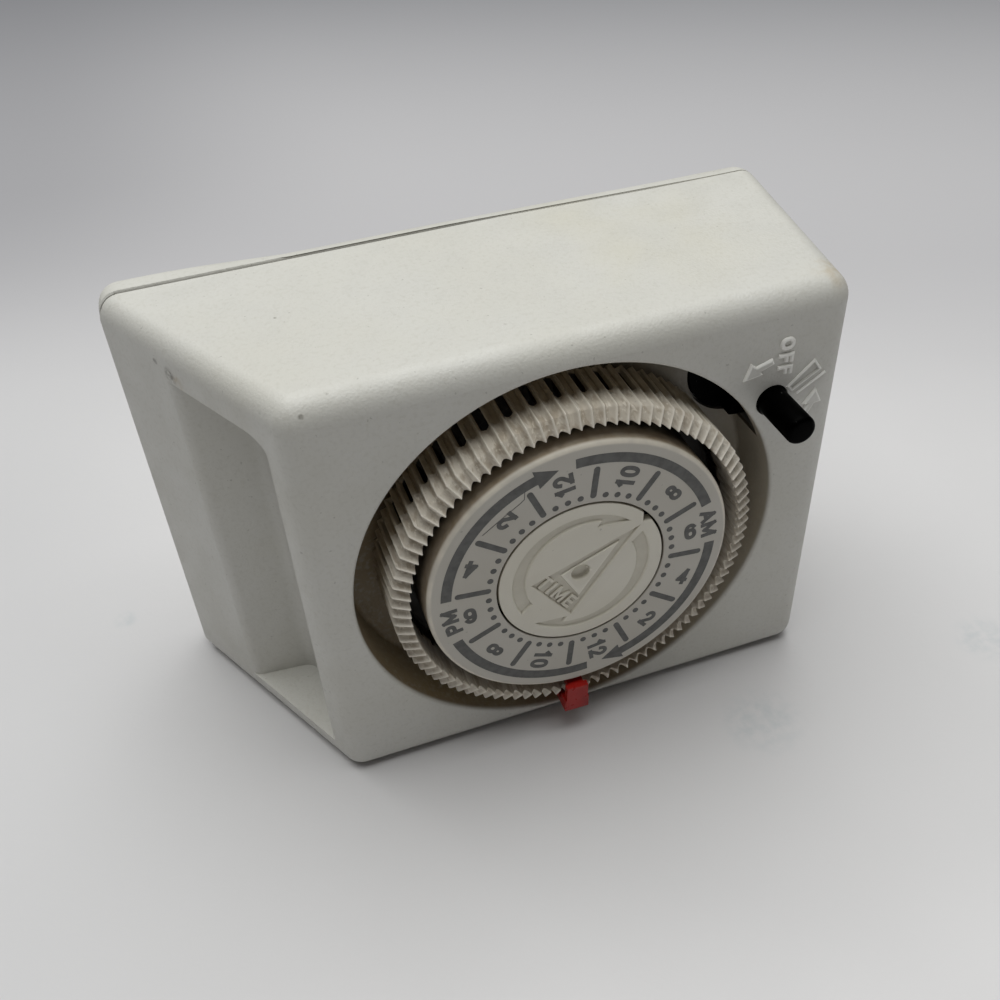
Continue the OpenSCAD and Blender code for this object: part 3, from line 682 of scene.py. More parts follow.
def recess_block(bm):
    """Cutter of the finger recess, with eased upper corner, inner bend and rear edge."""
    corner, bend, rear = 2.5, 2.7, 2.6
    wall_slope, past_left, past_rear = 0.0873, 9, 8
    lean = LEFT_INSET / SHELL_D
    rear_depth = (RECESS_REAR + wall_slope * (RECESS_IN - BACK_LEFT - LEFT_INSET)) / (
        1 - wall_slope * lean)
    far_x, far_depth = BACK_LEFT - past_left, rear_depth + past_rear
    levels = [(RECESS_LOW, 0.0), (RECESS_HIGH - corner, 0.0)]
    levels += [(RECESS_HIGH - corner + y, corner - x) for x, y in arc(corner, 12, 90, 6)]
    rings = []
    for z, drawn in levels:
        outline = eased([(far_x, RECESS_FRONT), (left_x(RECESS_FRONT) - drawn * 0.98, RECESS_FRONT),
                         (RECESS_IN - drawn, RECESS_REAR), (left_x(rear_depth), rear_depth),
                         (left_x(far_depth) - 0.2, far_depth), (far_x, far_depth)],
                        [0, 0, bend, rear, 0, 0])
        rings.append([point(x, z, d, ALONG) for x, d in outline])
    skin(bm, rings)


def housing_object():
    """Front moulding: skin, well, bay, posts and bosses, then every opening."""
    body = solid(shell_block)
    rear_slab = RECESS_REAR + WALL + 0.7
    inner = [(RECESS_IN + WALL, WALL), (RECESS_IN + WALL, rear_slab),
             (left_x(rear_slab) + WALL * LEFT_LEAN, rear_slab)]
    inner += body_plan(WALL, WALL, SHELL_D + 1)[1:]
    cut(body, solid(upright, inner, WALL, BODY_H - WALL))

    well_back, bay_back = WELL_DEPTH + WELL_FLOOR, BAY_DEPTH + BAY_WALL
    join(body, solid(rods, [DIAL], WELL_R + 1.5, WALL - 0.3, well_back, 192),
         solid(rods, [KNOB], BAY_R + 1.5, WALL - 0.2, bay_back, 96))
    supports = bmesh.new()
    rods(supports, POSTS, POST_R, well_back - 0.1, POST_END)
    rods(supports, SCREWS[:2], SCREW_BOSS_R, RECESS_REAR, SHELL_D - 0.002)
    rods(supports, SCREWS[2:], SCREW_BOSS_R, well_back, SHELL_D - 0.002)
    join(body, scratch(supports))

    lip, foot = 0.55, 0.9
    well = ([(0, -3), (WELL_R + lip + 0.3, -3), (WELL_R + lip + 0.03, -0.01)]
            + arc(lip, -90, -180, 5, (WELL_R + lip, lip))
            + arc(foot, 0, 90, 5, (WELL_R - foot, WELL_DEPTH - foot)) + [(0, WELL_DEPTH)])
    post_hole_r, screw_hole_r, knob_hole_r, shaft_hole_r = 1.15, 1.55, 2.7, 2.4
    holes, deep = bmesh.new(), bmesh.new()
    rods(holes, POSTS, post_hole_r, POST_END - 8, POST_END + 1, 24)
    rods(holes, SCREWS, screw_hole_r, SHELL_D - 10, SHELL_D + 1, 24)
    upright(holes, rectangle(*SOCKET_WINDOW), -1, WALL + 1)
    rods(deep, [KNOB], knob_hole_r, -1, WALL + 1, 48)
    rods(deep, [DIAL], TUBE_R + 0.6, WELL_DEPTH - 1, well_back + 1, 64)
    rods(deep, [KNOB], shaft_hole_r, BAY_DEPTH - 1, bay_back + 1, 48)
    return cut(body, solid(recess_block), solid(lathe, well, 192), scratch(holes),
               solid(rods, [KNOB], BAY_R, WALL, BAY_DEPTH, 96), scratch(deep))


def cap_section(x):
    """Outline of (depth, z) of the cover's cap at a distance across."""
    groove_left, groove_right = 1.8, 0.3
    left_r, right_r, low_r, end_r = 2.2, 6.0, 3.0, CAP_END_R
    turn = min(1.0, max(0.0, (x - BACK_LEFT - 8) / 34))
    top_r = left_r + (right_r - left_r) * turn * turn * (3 - 2 * turn)
    groove = groove_left + (groove_right - groove_left) * min(1.0, max(0.0, x / 45))
    from_end = min(x - BACK_LEFT, BACK_RIGHT - x)

    def drawn_in(r):
        return r - sqrt(max(0.0, r * r - max(0.0, r - from_end) ** 2))

    side, rear = drawn_in(REAR_EDGE_R), BACK - FRONT - drawn_in(end_r)
    low, high = side, BODY_H - side
    front = SHELL_D + groove
    shrink = drawn_in(end_r) * 0.8
    top_r, low_r = max(0.5, min(top_r - shrink, rear - front - 0.05)), max(0.5, low_r - shrink)
    top = arc(top_r, 90, 0, 12, (rear - top_r, high - top_r))
    bottom = arc(low_r, 0, -90, 12, (rear - low_r, low + low_r))
    run = 0.25 * groove / groove_left
    return [(front + run, low), (front, low + GROOVE_DEPTH), (front, high - GROOVE_DEPTH),
            (front + run, high)] + top + bottom


def cap_stations(bm):
    """Cap of the cover, lofted across from the left end to the right."""
    width, spans = BACK_RIGHT - BACK_LEFT, 30
    ends = [CAP_END_R - x for x, _ in arc(CAP_END_R, 0, 90, 10)]
    stations = [BACK_LEFT + e for e in ends]
    stations += [BACK_LEFT + width * k / spans for k in range(2, spans - 1)]
    stations += [BACK_RIGHT - e for e in ends[::-1]]
    skin(bm, [[point(x, z, d, ALONG) for d, z in cap_section(x)] for x in stations])


def cover_object():
    """Back moulding: rounded cap, the groove beside the housing, spigot, pockets and slots."""
    back = BACK - FRONT
    core = bmesh.new()
    wrap(core, [p for x in (BACK_LEFT + REAR_EDGE_R, BACK_RIGHT - REAR_EDGE_R)
                for z in (REAR_EDGE_R, BODY_H - REAR_EDGE_R) for depth in (SHELL_D, SHELL_D + 1.5)
                for p in disc(x, z, depth, REAR_EDGE_R - GROOVE_DEPTH)])
    fit = WALL + 0.15
    spigot = solid(upright, body_plan(fit, SHELL_D - 2, SHELL_D + 1), fit, BODY_H - fit)
    cover = join(solid(cap_stations), scratch(core), spigot)
    inset = WALL + 1.6
    hollow = solid(upright, body_plan(inset, SHELL_D - 3, SHELL_D + 0.5), inset, BODY_H - inset)
    deeper = rectangle(BACK_LEFT + inset, SHELL_D, BACK_RIGHT - inset, back - WALL)
    join(hollow, solid(upright, deeper, inset, BODY_H - inset))
    cut(hollow, solid(rods, SCREWS, SCREW_BOSS_R + 0.8, SHELL_D, back))
    pockets = solid(rods, SCREWS, SCREW_BOSS_R + GAP, SHELL_D - 2.5, SHELL_D)
    heads = solid(rods, SCREWS, SCREW_HEAD_R, SHELL_D + 3.2, back + 1)
    slots, screw_hole_r, pin_hole_r = bmesh.new(), 1.6, 2.7
    rods(slots, SCREWS, screw_hole_r, SHELL_D - 1, back + 1, 24)
    for half_w, z in zip(BLADE_HALF_WIDTHS, (PLUG_Z - BLADE_APART / 2, PLUG_Z + BLADE_APART / 2)):
        hole = rectangle(PLUG_X - half_w, z - BLADE_HALF_T, PLUG_X + half_w, z + BLADE_HALF_T)
        prism(slots, hole, SHELL_D - 0.5, back + 1, ALONG)
    rods(slots, [(PLUG_X - GROUND_AWAY, PLUG_Z)], pin_hole_r, SHELL_D - 0.5, back + 1)
    return cut(cover, hollow, pockets, heads, scratch(slots))


# ---- Printed plate ----

PLATE_IN_R = HUB_R + 0.3
INK = 0.03
BAND_IN_R, BAND_OUT_R = 21.2, 22.9
MARK_IN_R, MARK_OUT_R, MARK_W = 14.9, 20.7, 1.0
FIRST_MARK = 83.4
DOT_R, DOT_REACH = 0.5, 15.3
DIGIT_W = {"1": 1.3}
WIDE_DIGIT_W, DIGIT_H, DIGIT_GAP, DIGIT_STROKE = 2.05, 3.3, 0.5, 0.72
SCRATCH = [(-15.5, 13.3), (-12.6, 15.4), (-9.6, 17.4), (-8.9, 18.0), (-8.8, 19.5)]
# Hours going round anticlockwise from the top, with their places on one half
HALF_DIAL = [("12", (-2.8, 18.6)), ("2", (-11.8, 14.8)), ("4", (-17.8, 7.3)),
             ("6", (-18.4, -2.4)), ("8", (-14.9, -11.6)), ("10", (-7.2, -17.2))]


def band(start, end, tip=None):
    """Arc of the print, with an arrowhead at its far end where a tip is given."""
    outer = arc(BAND_OUT_R, start, end, 40)
    inner = arc(BAND_IN_R, end, start, 40)
    return outer + (tip or []) + inner


def bar(r0, r1, width, degrees):
    """Radial bar with round ends."""
    half = width / 2
    outline = arc(half, -90, 90, 8, (r1 - half, 0)) + arc(half, 90, 270, 8, (r0 + half, 0))
    return turned(outline, degrees)


def plate_mesh():
    bm = bmesh.new()
    edge, wall = 0.9, 1.2
    profile = ([(PLATE_IN_R, PLATE_FACE + 0.12), (PLATE_IN_R + 0.12, PLATE_FACE)]
               + arc(edge, -90, 0, 8, (PLATE_R - edge, PLATE_FACE + edge))
               + [(PLATE_R, DIAL_FLOOR), (PLATE_R - wall, DIAL_FLOOR),
                  (PLATE_R - wall, PLATE_FACE + wall), (PLATE_IN_R, PLATE_FACE + wall)])
    lathe(bm, profile, 256)
    return bm


def number(bm, text, centre, up, near, far):
    """Digits side by side, centred on a point."""
    right, _ = axes(up)
    widths = [DIGIT_W.get(character, WIDE_DIGIT_W) for character in text]
    start = -(sum(widths) + DIGIT_GAP * (len(text) - 1)) / 2
    for character, width in zip(text, widths):
        along = start + width / 2
        place = (centre[0] + right[0] * along, centre[1] + right[1] * along)
        letter(bm, character, place, up, (width, DIGIT_H), DIGIT_STROKE, near, far)
        start += width + DIGIT_GAP


def print_mesh():
    """Ink of the plate, a hair's breadth proud of it."""
    bm = bmesh.new()
    near, far = PLATE_FACE - INK, PLATE_FACE + INK
    arrow = [(-7.6, 22.6), (-3.6, 21.7), (-6.5, 19.2)]
    shapes = [band(92.5, 19.2), band(272.5, 199.2)]
    for turn, start in ((0, 175), (180, 177.4)):
        shapes.append(turned(band(start, 108.6, arrow), turn))
    ribbon(bm, SCRATCH, 0.1, near - 0.006, far)
    for k in range(12):
        angle = FIRST_MARK + 30 * k
        shapes.append(bar(MARK_IN_R, MARK_OUT_R, MARK_W, angle))
        for offset in (7.5, 15, 22.5):
            shapes.append(arc(DOT_R, 0, 345, 23, polar(DOT_REACH, angle + offset)))
    for outline in shapes:
        prism(bm, outline, near, far)
    for sign in (1, -1):
        for text, (u, v) in HALF_DIAL:
            u, v = u * sign, v * sign
            number(bm, text, (u, v), (-v, u), near, far)
    for text, half in (("AM", [("A", (21.3, 4.8), 2.5), ("M", (21.65, 1.9), 2.9)]),
                       ("PM", [("P", (-21.2, -4.3), 2.1), ("M", (-21.65, -1.5), 2.9)])):
        for character, (u, v), width in half:
            letter(bm, character, (u, v), (u, v), (width, 2.7), 0.7, near, far)
    return bm


# ---- Hub ----

FIGURE = 0.34


def hub_outline():
    """Round hub with a small notch at its edge beside the pointer's tip."""
    start, end = 41.6, 32.5
    return arc(HUB_R, start, 360 + end, 150) + [(10.2, 7.4)]


def curved_arrow():
    """Recessed arrow that sweeps clockwise over the top, as one outline."""
    outer = arc(11.4, -152.5, -312.6, 60)
    reach = [(9.2, -156), (9.5, -202), (9.8, -235), (10.05, -262), (10.3, -288.5)]
    inner = []
    for (r0, a0), (r1, a1) in zip(reach, reach[1:]):
        inner += [polar(r0 + (r1 - r0) * k / 12, a0 + (a1 - a0) * k / 12) for k in range(12)]
    inner.append(polar(*reach[-1]))
    return outer + [(2.73, 8.81)] + inner[::-1] + [(-8.44, -3.72)]


def hub_object():
    """Hub with the sunk arrows and pointer, the raised word in it and the dimple."""
    face, floor_depth = HUB_FACE, HUB_FACE + FIGURE
    triangle = [(-8.23, 0.18), (-1.84, -8.33), (9.4, 6.65)]
    island = [(-3.46, 0.64), (-0.51, -4.77), (6.21, 4.62)]
    base = bmesh.new()
    stack(base, hub_outline(),
          [(face, -0.3), (face + 0.09, -0.09), (face + 0.3, 0), (face + 1.4, 0)])
    lathe(base, [(0, face + 1.3), (4.3, face + 1.3), (4.3, HUB_BACK), (0, HUB_BACK)], 64)
    hub = scratch(base)
    sunk = [(face - 0.05, 0.2), (face, 0.14), (face + 0.07, 0.06),
            (floor_depth - 0.08, -0.03), (floor_depth, -0.12)]
    figures = [solid(stack, shape, sunk) for shape in
               (triangle, curved_arrow(), turned(curved_arrow(), 180))]
    dimple_r, dimple_depth, brim = 1.5, 0.95, 0.4
    dimple = ([(0, face - 1), (dimple_r + brim + 0.05, face - 1),
               (dimple_r + brim + 0.02, face - 0.005)]
              + arc(brim, -90, -180, 5, (dimple_r + brim, face + brim))
              + arc(0.4, 0, 90, 5, (dimple_r - 0.4, face + dimple_depth - 0.4))
              + [(0, face + dimple_depth)])
    raised = bmesh.new()
    stack(raised, island, [(face, -0.12), (face + 0.07, -0.04), (floor_depth, 0.05),
                           (floor_depth + 0.1, 0.05)])
    cut(hub, *figures)
    join(hub, scratch(raised))
    cut(hub, solid(lathe, dimple, 64, (DIAL[0] - 0.15, DIAL[1] + 0.15)))
    letters = bmesh.new()
    letters.from_mesh(hub.data)
    up, along, baseline = (0.8, 0.6), (0.6, -0.8), -4.95
    for text, place, width in (("T", -3.65, 1.8), ("I", -1.75, 0.5), ("M", 0.5, 2.4),
                               ("E", 3.15, 1.7)):
        centre = (up[0] * baseline + along[0] * place, up[1] * baseline + along[1] * place)
        letter(letters, text, centre, up, (width, 2.5), 0.5, face + 0.02,
               floor_depth + 0.1, 0.1, 0.05)
    letters.to_mesh(hub.data)
    letters.free()
    return hub


# ---- Raised marks on the front face ----

MARK_RISE = 0.45


def marks_mesh():
    """Knob marks moulded on the front face: two arrows, OFF and a hollow pointer."""
    bm = bmesh.new()
    near, far = -MARK_RISE, 0.2
    arrow = [(27.4, 25.9), (30.5, 26.4), (30.05, 27.0), (32.25, 27.85), (31.9, 28.75),
             (29.3, 27.9), (28.4, 28.7)]
    pointer = [(35.4, 22.85), (36.1, 22.1), (40.45, 24.8), (39.35, 26.45)]
    stem = [(37.0, 21.15), (41.6, 23.95)]
    knob_place = (KNOB[0] - DIAL[0], KNOB[1] - DIAL[1])
    levels = [(near, -0.36), (near, -0.2), (near + 0.1, -0.05), (near + 0.22, 0.02), (far, 0.07)]
    stack(bm, arrow, levels)
    stack(bm, turned(arrow, -135, knob_place), levels)
    ribbon(bm, pointer, 0.5, near + 0.19, far, True, 0.14, 0.06)
    ribbon(bm, stem, 0.45, near + 0.21, far, False, 0.12, 0.06)
    for character, centre, width in (("O", (34.2, 30.8), 2.15), ("F", (34.3, 28.35), 1.55),
                                     ("F", (34.35, 26.25), 1.55)):
        letter(bm, character, centre, (1, 0), (width, 2.35), 0.6, near + 0.05, far, 0.15, 0.05)
    return bm


# ---- Knob and tripper ----

TRIP_ANGLE = 32.5
TRIPPER_ANGLE = -92.3


def trip_wheel_object():
    """Knob, collar, disc with two raised quadrants and the shaft behind them."""
    knob_r, knob_fillet, collar_r, shaft_r, tail_r = 2.4, 0.8, 3.6, 2.0, 1.5
    knob_end, ease = KNOB_END + 0.01, 0.15
    collar_front, lobe_front, disc_front, disc_back = 2.8, 8.8, 11.2, 12.5
    shaft_end, tail_end = 22.2, TRIP_TAIL_END
    profile = [(0, knob_end)]
    profile += arc(knob_fillet, -90, 0, 6, (knob_r - knob_fillet, knob_end + knob_fillet))
    profile += [
        (knob_r, collar_front), (collar_r - 0.2, collar_front), (collar_r, collar_front + 0.2),
        (collar_r, disc_front), (LOBE_R - ease, disc_front), (LOBE_R, disc_front + ease),
        (LOBE_R, disc_back - ease), (LOBE_R - ease, disc_back), (shaft_r, disc_back),
        (shaft_r, shaft_end), (tail_r, shaft_end), (tail_r, tail_end), (0, tail_end)]
    quadrant = [(0.0, 0.0)] + arc(LOBE_R - 0.02, -45, 45, 24)
    lobes = [solid(prism, turned(quadrant, TRIP_ANGLE + turn), lobe_front, disc_front + 0.1, KNOB)
             for turn in (90, 270)]
    return join(solid(lathe, profile, 96, KNOB), *lobes)


def block(bm, across, sideways, depth, degrees):
    """Block on a dial radius: its reach from the axis, its half width and its depth range."""
    outline = rectangle(across[0], -sideways, across[1], sideways)
    prism(bm, turned(outline, degrees), *depth)


def tripper_object():
    """Clip over the rim: a saddle, a head, and a leg with the finger that meets the wheel."""
    parts = [((25.9, 30.6), 1.9, (-5.2, -4.1)), ((25.9, 27.0), 1.4, (-4.2, -0.8)),
             ((28.9, 31.5), 2.15, (-5.15, -3.2)), ((30.3, 31.5), 2.15, (-3.3, 0.4)),
             ((30.3, 31.6), 1.4, (0.2, 10.7)), ((30.3, 33.1), 1.2, (9.1, 10.7))]
    return join(*[solid(block, *part, TRIPPER_ANGLE) for part in parts])


# ---- Colours ----

def srgb(*screen):
    """Linear colour of three screen values out of 255."""
    shares = [value / 255 for value in screen]
    return tuple(s / 12.92 if s <= 0.04045 else ((s + 0.055) / 1.055) ** 2.4 for s in shares)


def shell_marks(f):
    """Brown soiling and painted shade in the well, handling marks and faint yellowing on the body.
    """
    share = f.ramp(f.along(0), (DIAL[0] - 5) * MM, (DIAL[0] + 30) * MM, 1.0, 0.62)
    in_hole = f.ramp(f.radius(DIAL), (WELL_R + 0.38) * MM, (WELL_R + 0.55) * MM, 1.0, 0.0)
    in_front = f.maths("SUBTRACT", 1.0, f.past(WELL_DEPTH + 0.3, WELL_DEPTH + 0.8))
    in_well = f.times(f.times(in_hole, f.past(0.2, 1.0)), in_front)
    # Partly brown soiling, partly painted shade: a brown film over the well's wall and floor,
    # stronger on the left.
    film = f.times(in_well, share)
    f.paint(srgb(146, 128, 96), f.times(film, f.patches(60, 4, 0.2, 0.8, 0.8, 1.0)))
    f.paint(srgb(188, 186, 176), f.patches(1500, 2, 0.45, 0.8, 0.0, 0.35, shift=8))
    yellow, dark, brown = srgb(202, 196, 168), srgb(74, 66, 50), srgb(176, 158, 126)
    for x, depth, z, radius, stain, scale, strength in (
            (27.0, 25.0, 76.8, 24, yellow, 60, 0.35), (48.5, 4.0, 76.0, 5, brown, 500, 0.5),
            (-47.2, 23.4, 71.1, 1.8, dark, 1300, 0.8), (-45.6, 22.2, 70.6, 1.8, brown, 700, 0.8),
            (-48.4, 25.9, 76.2, 0.7, dark, 1500, 0.9), (-48.7, 26.4, 72.2, 0.7, dark, 1500, 0.9),
            (-37.1, 4.4, 74.6, 0.6, dark, 1500, 0.9), (-32.0, 0.7, 74.9, 0.55, dark, 1500, 0.7),
            (-30.9, 23.3, 76.8, 0.35, dark, 1500, 0.6)):
        f.paint(stain, f.times(f.spot(point(x, z, depth, ALONG), radius, scale), strength))


def rim_wear_and_painted_light(f):
    """Pale worn crests with a painted highlight, painted shade in the valleys, a browner tone in
    patches behind the ridges and painted black shade deep in the slots.
    """
    f.paint(srgb(166, 153, 134), f.patches(900, 4, 0.45, 0.62, 0.0, 0.65, stretch=(1, 0.35, 1)))
    f.paint(srgb(232, 226, 214),
            f.patches(1900, 3, 0.56, 0.68, 0.0, 0.7, stretch=(1, 0.25, 1), shift=4))
    # Pale crests: partly wear, partly a painted highlight on the convex edges.
    f.paint(srgb(228, 222, 210), f.worn(0.52, 0.60))
    # Painted shade: darker in the concave valleys between the ridges.
    f.paint(srgb(172, 160, 142), f.worn(0.47, 0.38))
    # Browner tone in patches behind the slot fronts.
    behind = f.past(SLOT_FRONT - 0.02, SLOT_FRONT + 0.1)
    f.paint(srgb(196, 184, 160), f.times(behind, f.patches(500, 3, 0.2, 0.8, 0.3, 0.8)))
    # Painted shade: near-black on the slot backs and the rim's inner wall deep behind the slot
    # fronts, so the slots look dark.
    inside = f.ramp(f.radius(DIAL), (POCKET_R - 0.25) * MM, (POCKET_R - 0.05) * MM, 0.97, 0.0)
    f.paint(srgb(22, 18, 13), f.times(f.past(SLOT_FRONT + 0.3, SLOT_FRONT + 1.5), inside))


def plate_wear_and_painted_light(f):
    """Cream wear and a painted highlight round the plate's edge, brown soiling just past it, and
    painted black shade further down its side.
    """
    ring = f.ramp(f.radius(DIAL), (PLATE_R - 0.8) * MM, (PLATE_R - 0.45) * MM)
    # Partly wear, partly a painted highlight on the rounded edge.
    f.paint(srgb(232, 224, 208), f.times(ring, f.patches(300, 3, 0.3, 0.7, 0.3, 0.75)))
    # Brown soiling on the upper side, then painted shade: near-black deeper down the side, in the
    # narrow channel by the rim.
    for near, far, dirt_and_shade in ((0.35, 0.95, srgb(150, 134, 112)), (2.2, 4.5, srgb(30, 25, 18))):
        side = f.times(ring, f.past(PLATE_FACE + near, PLATE_FACE + far))
        f.paint(dirt_and_shade, f.times(side, f.patches(400, 3, 0.2, 0.8, 0.65, 1.0)))


def mark_wear_and_highlight(f):
    """Paler, rubbed upper edges of the raised marks, partly a painted highlight."""
    # Partly wear, partly a painted highlight on the convex edges.
    f.paint(srgb(246, 245, 240), f.worn(0.505, 0.56))


def hub_shade_and_highlight(f):
    """Painted shade in the sunk figures, and a painted highlight on the edges."""
    # Painted shade: the sunk floors of the figures are darker, in patches.
    sunk = f.past(HUB_FACE + 0.12, HUB_FACE + 0.3)
    f.paint(srgb(204, 199, 184), f.times(sunk, f.patches(700, 3, 0.2, 0.8, 0.6, 1.0)))
    # Painted highlight: paler convex edges.
    f.paint(srgb(240, 236, 224), f.worn(0.52, 0.62))


shell = moulded("shell_plastic", srgb(208, 207, 201), srgb(202, 200, 190), srgb(128, 118, 102),
                0.45, 0.05, 1.6, (0.02, 0.35), shell_marks)
rim_finish = moulded("rim_plastic", srgb(208, 201, 188), srgb(194, 185, 170), srgb(92, 78, 58),
                     0.5, 0.03, 1.2, (0.02, 0.3), rim_wear_and_painted_light)
plate_finish = moulded("plate_plastic", srgb(194, 190, 181), srgb(186, 181, 169),
                       srgb(110, 96, 76), 0.42, 0.006, 1.5, (0.1, 0.5), plate_wear_and_painted_light)
mark_finish = moulded("mark_plastic", srgb(210, 209, 203), srgb(204, 202, 192), srgb(160, 154, 142),
                      0.45, 0.01, 0.5, (0.02, 0.3), mark_wear_and_highlight)
hub_finish = moulded("hub_plastic", srgb(222, 218, 205), srgb(214, 208, 192), srgb(120, 108, 84),
                     0.42, 0.006, 0.7, (0.3, 0.85), hub_shade_and_highlight)
socket_finish = moulded("socket_plastic", srgb(222, 222, 214), srgb(212, 210, 198),
                        srgb(90, 80, 64), 0.4, 0.01, 2.0)
nylon = moulded("gear_nylon", srgb(226, 222, 208), srgb(212, 205, 186), srgb(120, 104, 78),
                0.38, 0.006, 0.8)
phenolic = moulded("switch_phenolic", srgb(92, 52, 30), srgb(70, 40, 24), srgb(30, 20, 14),
                   0.5, 0.012, 1.0)


def knob_black():
    """Dull black moulding with faint finger marks and specks of dust."""
    f = Finish("knob_black", (0.0003, 0.0003, 0.0003), 0.4, specular=0.015)
    f.paint((0.0009, 0.0009, 0.0009), f.patches(160, 3, 0.5, 0.8))
    f.paint((0.12, 0.12, 0.12), f.patches(1000, 1, 0.75, 0.80, 0.0, 0.8))
    f.rough(240, 4, 0.3, 0.5)
    f.bump(f.noise(900), 0.006)
    return f.done()


def tripper_red():
    """Glossy red moulding, darker in patches, with painted shade in its corners."""
    f = Finish("tripper_red", (0.36, 0.006, 0.003), 0.32, specular=0.4)
    f.paint((0.2, 0.003, 0.002), f.patches(300, 3, 0.4, 0.75))
    # Painted shade: darker red in corners and narrow gaps.
    f.paint((0.05, 0.002, 0.002), f.crevices(1.0, 0.2, 0.8))
    f.rough(500, 3, 0.26, 0.42)
    f.bump(f.noise(1400), 0.01)
    return f.done()


def dial_ink():
    """Dull grey-black ink with a slightly starved, mottled film."""
    f = Finish("dial_ink", srgb(96, 96, 94), 0.55)
    f.paint(srgb(82, 82, 80), f.patches(700, 3, 0.35, 0.7))
    f.paint(srgb(150, 148, 142), f.patches(2600, 2, 0.72, 0.82, 0.0, 0.7, shift=5))
    f.bump(f.noise(3000), 0.005)
    return f.done()


def winding():
    """Enamelled copper wire wound in turns along the axis."""
    f = Finish("coil_copper", (0.30, 0.09, 0.03), 0.35, coat=0.4)
    turns = f.add("TexWave", Vector=f.place, Scale=900)
    turns.bands_direction = "Y"
    # Painted shade: darker bands in the gaps between the turns of wire.
    f.paint((0.12, 0.03, 0.012), f.ramp(turns.outputs[1], 0.2, 0.8, 1.0, 0.0))
    f.paint((0.5, 0.2, 0.08), f.patches(200, 3, 0.55, 0.8, 0.0, 0.5))
    f.bump(turns.outputs[1], 0.05)
    return f.done()


def lead_cover():
    """Black sleeve of the motor leads."""
    f = Finish("lead_black", (0.012, 0.012, 0.013), 0.5)
    f.paint((0.03, 0.03, 0.03), f.patches(900, 3, 0.5, 0.8))
    f.bump(f.noise(2000), 0.01)
    return f.done()


def floor_paper():
    """Pale grey surface with painted shade that darkens it towards the back and to the left, with a
    few faint stains.
    """
    f = Finish("floor_paper", srgb(224, 223, 224), 0.75)
    across, depth = f.along(0), f.along(1)
    back_right = f.maths("ADD", depth, f.times(across, 0.45))
    back_left = f.times(f.ramp(depth, 0.12, 0.26, 0.0, 0.5), f.ramp(across, -0.09, 0.04, 1.0, 0.0))
    # Painted shade: a little darker towards the back.
    f.paint(srgb(216, 215, 216), f.ramp(depth, -0.11, -0.02))
    f.paint(srgb(210, 209, 210), f.patches(9, 3, 0.35, 0.75, 0.0, 0.8))
    # Painted shade: darker towards the left, and much darker towards the back right and back left,
    # standing in for light falling off.
    f.paint(srgb(200, 200, 202), f.ramp(across, -0.11, -0.03, 0.5, 0.0))
    f.paint(srgb(187, 186, 189), f.ramp(back_right, 0.05, 0.17, 0.0, 0.8))
    f.paint(srgb(132, 133, 138), f.ramp(back_right, 0.2, 0.6))
    f.paint(srgb(136, 136, 141), back_left)
    for x, y, radius in ((0.035, -0.038, 9), (0.083, -0.036, 7), (-0.07, 0.03, 3),
                         (0.06, -0.075, 3)):
        f.paint(srgb(176, 186, 190), f.times(0.35, f.spot((x, y, 0), radius, 500)))
    f.bump(f.noise(900, 3), 0.02)
    return f.done()


brass = metal("contact_brass", (0.62, 0.43, 0.16), (0.34, 0.21, 0.08), 0.3)
copper = metal("spring_copper", (0.64, 0.34, 0.18), (0.34, 0.16, 0.08), 0.32)
steel = metal("steel", (0.55, 0.55, 0.54), (0.33, 0.32, 0.30), 0.34)
silver = metal("silver_contact", (0.75, 0.74, 0.70), (0.40, 0.37, 0.32), 0.3)
magnet = metal("rotor_magnet", (0.10, 0.10, 0.11), (0.05, 0.045, 0.045), 0.45)

# ---- Pieces ----

soften(piece("housing", housing_object(), shell, "housing", ["front_housing"], 40),
       0.35, 3, 40)
soften(piece("cover", cover_object(), shell, "housing", ["back_cover"], 40),
       0.12, 2, 40)

piece("rim", rim_mesh(), rim_finish, "dial", ["dial_rim"], 20)
piece("plate", plate_mesh(), plate_finish, "dial", ["dial_plate"])
piece("plate_print", print_mesh(), dial_ink(), "dial")
piece("hub", hub_object(), hub_finish, "housing", ["hub_cap"])
piece("front_marks", marks_mesh(), mark_finish, "housing")
soften(piece("override_knob", trip_wheel_object(), knob_black(), "trip",
             ["trip_wheel"]), 0.12)
soften(piece("tripper", tripper_object(), tripper_red(), "tripper",
             ["off_tripper"]), 0.4, 4)

# ---- Finishes of the CAD nodes that stay ----

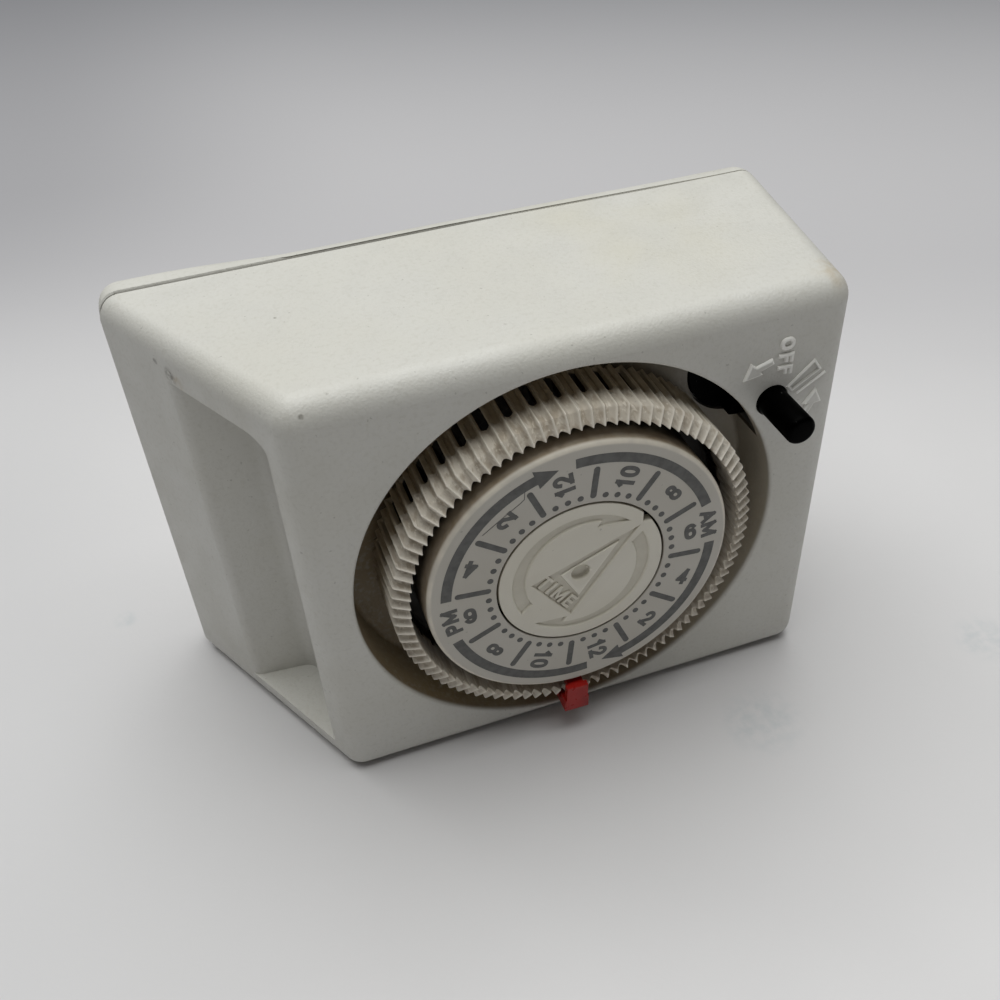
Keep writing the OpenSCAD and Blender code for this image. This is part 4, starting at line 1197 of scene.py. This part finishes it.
# Each finish with the width of its rounded edges in mm and the nodes that take it
FINISHES = [
    (socket_finish, 0.3, "receptacle_face"), (brass, 0.15, "line_blade neutral_blade"),
    (brass, 0.1, "ground_pin"), (brass, 0.03, "motor_pinion"),
    (brass, 0.05, "line_strap neutral_strap ground_strap load_strap"),
    (copper, 0.05, "line_contact neutral_contact ground_contact contact_arm"),
    (steel, 0.1, "mechanism_plate dial_spindle idler_post"),
    (steel, 0.08, "plate_screws cover_screws motor_plate motor_screws"),
    (steel, 0.04, "clutch_spring"), (steel, 0.05, "detent_spring"), (steel, 0.2, "motor_can"),
    (nylon, 0.04, "dial_gear idler_gear"), (nylon, 0.1, "switch_cam"),
    (winding(), 0.2, "motor_coil"), (magnet, 0.1, "motor_rotor"),
    (lead_cover(), 0.1, "motor_leads"), (phenolic, 0.1, "switch_base"),
    (silver, 0.1, "moving_contact fixed_contact"),
]
for finish, rounding, names in FINISHES:
    for node_name in names.split():
        soften(dress(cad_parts[node_name], finish), rounding)

# ---- Floor, light and camera ----

FLOOR_HALF = 1.5
sheet = bmesh.new()
sheet.faces.new([sheet.verts.new((x, y, 0)) for x, y in
                 rectangle(-FLOOR_HALF, -FLOOR_HALF, FLOOR_HALF, FLOOR_HALF)])
floor = dress(new_object("floor", to_mesh(sheet, "floor")), floor_paper())

lamp = bpy.data.lights.new("key", "AREA")
lamp.energy, lamp.size, lamp.color = 12.7, 1.1, (0.99, 1.0, 0.985)
key = new_object("key", lamp)
key.location = (0.0, 0.17, 1.0)
AIM = Vector((0, 0, 0.02))
key.rotation_euler = (AIM - key.location).to_track_quat("-Z", "Y").to_euler()

world = bpy.data.worlds.new("studio")
bpy.context.scene.world = world
world.use_nodes = True
background = world.node_tree.nodes["Background"]
background.inputs["Color"].default_value = (1, 0.965, 0.94, 1)
background.inputs["Strength"].default_value = 0.08
bpy.context.scene.view_settings.view_transform = "Standard"

camera = bpy.data.cameras.new("camera")
camera.sensor_width = 36
camera.lens = 38.937
eye = new_object("camera", camera)
bpy.context.scene.camera = eye
RIGHT = Vector((0.94334, -0.32850, -0.04693))
AHEAD = Vector((0.22032, 0.72579, -0.65168))
DOWN = Vector((-0.24814, -0.60442, -0.75704))
EYE = Vector((-0.04108, -0.13784, 0.15624))
eye.matrix_world = Matrix((RIGHT, -DOWN, -AHEAD)).transposed().to_4x4()
eye.matrix_world.translation = EYE
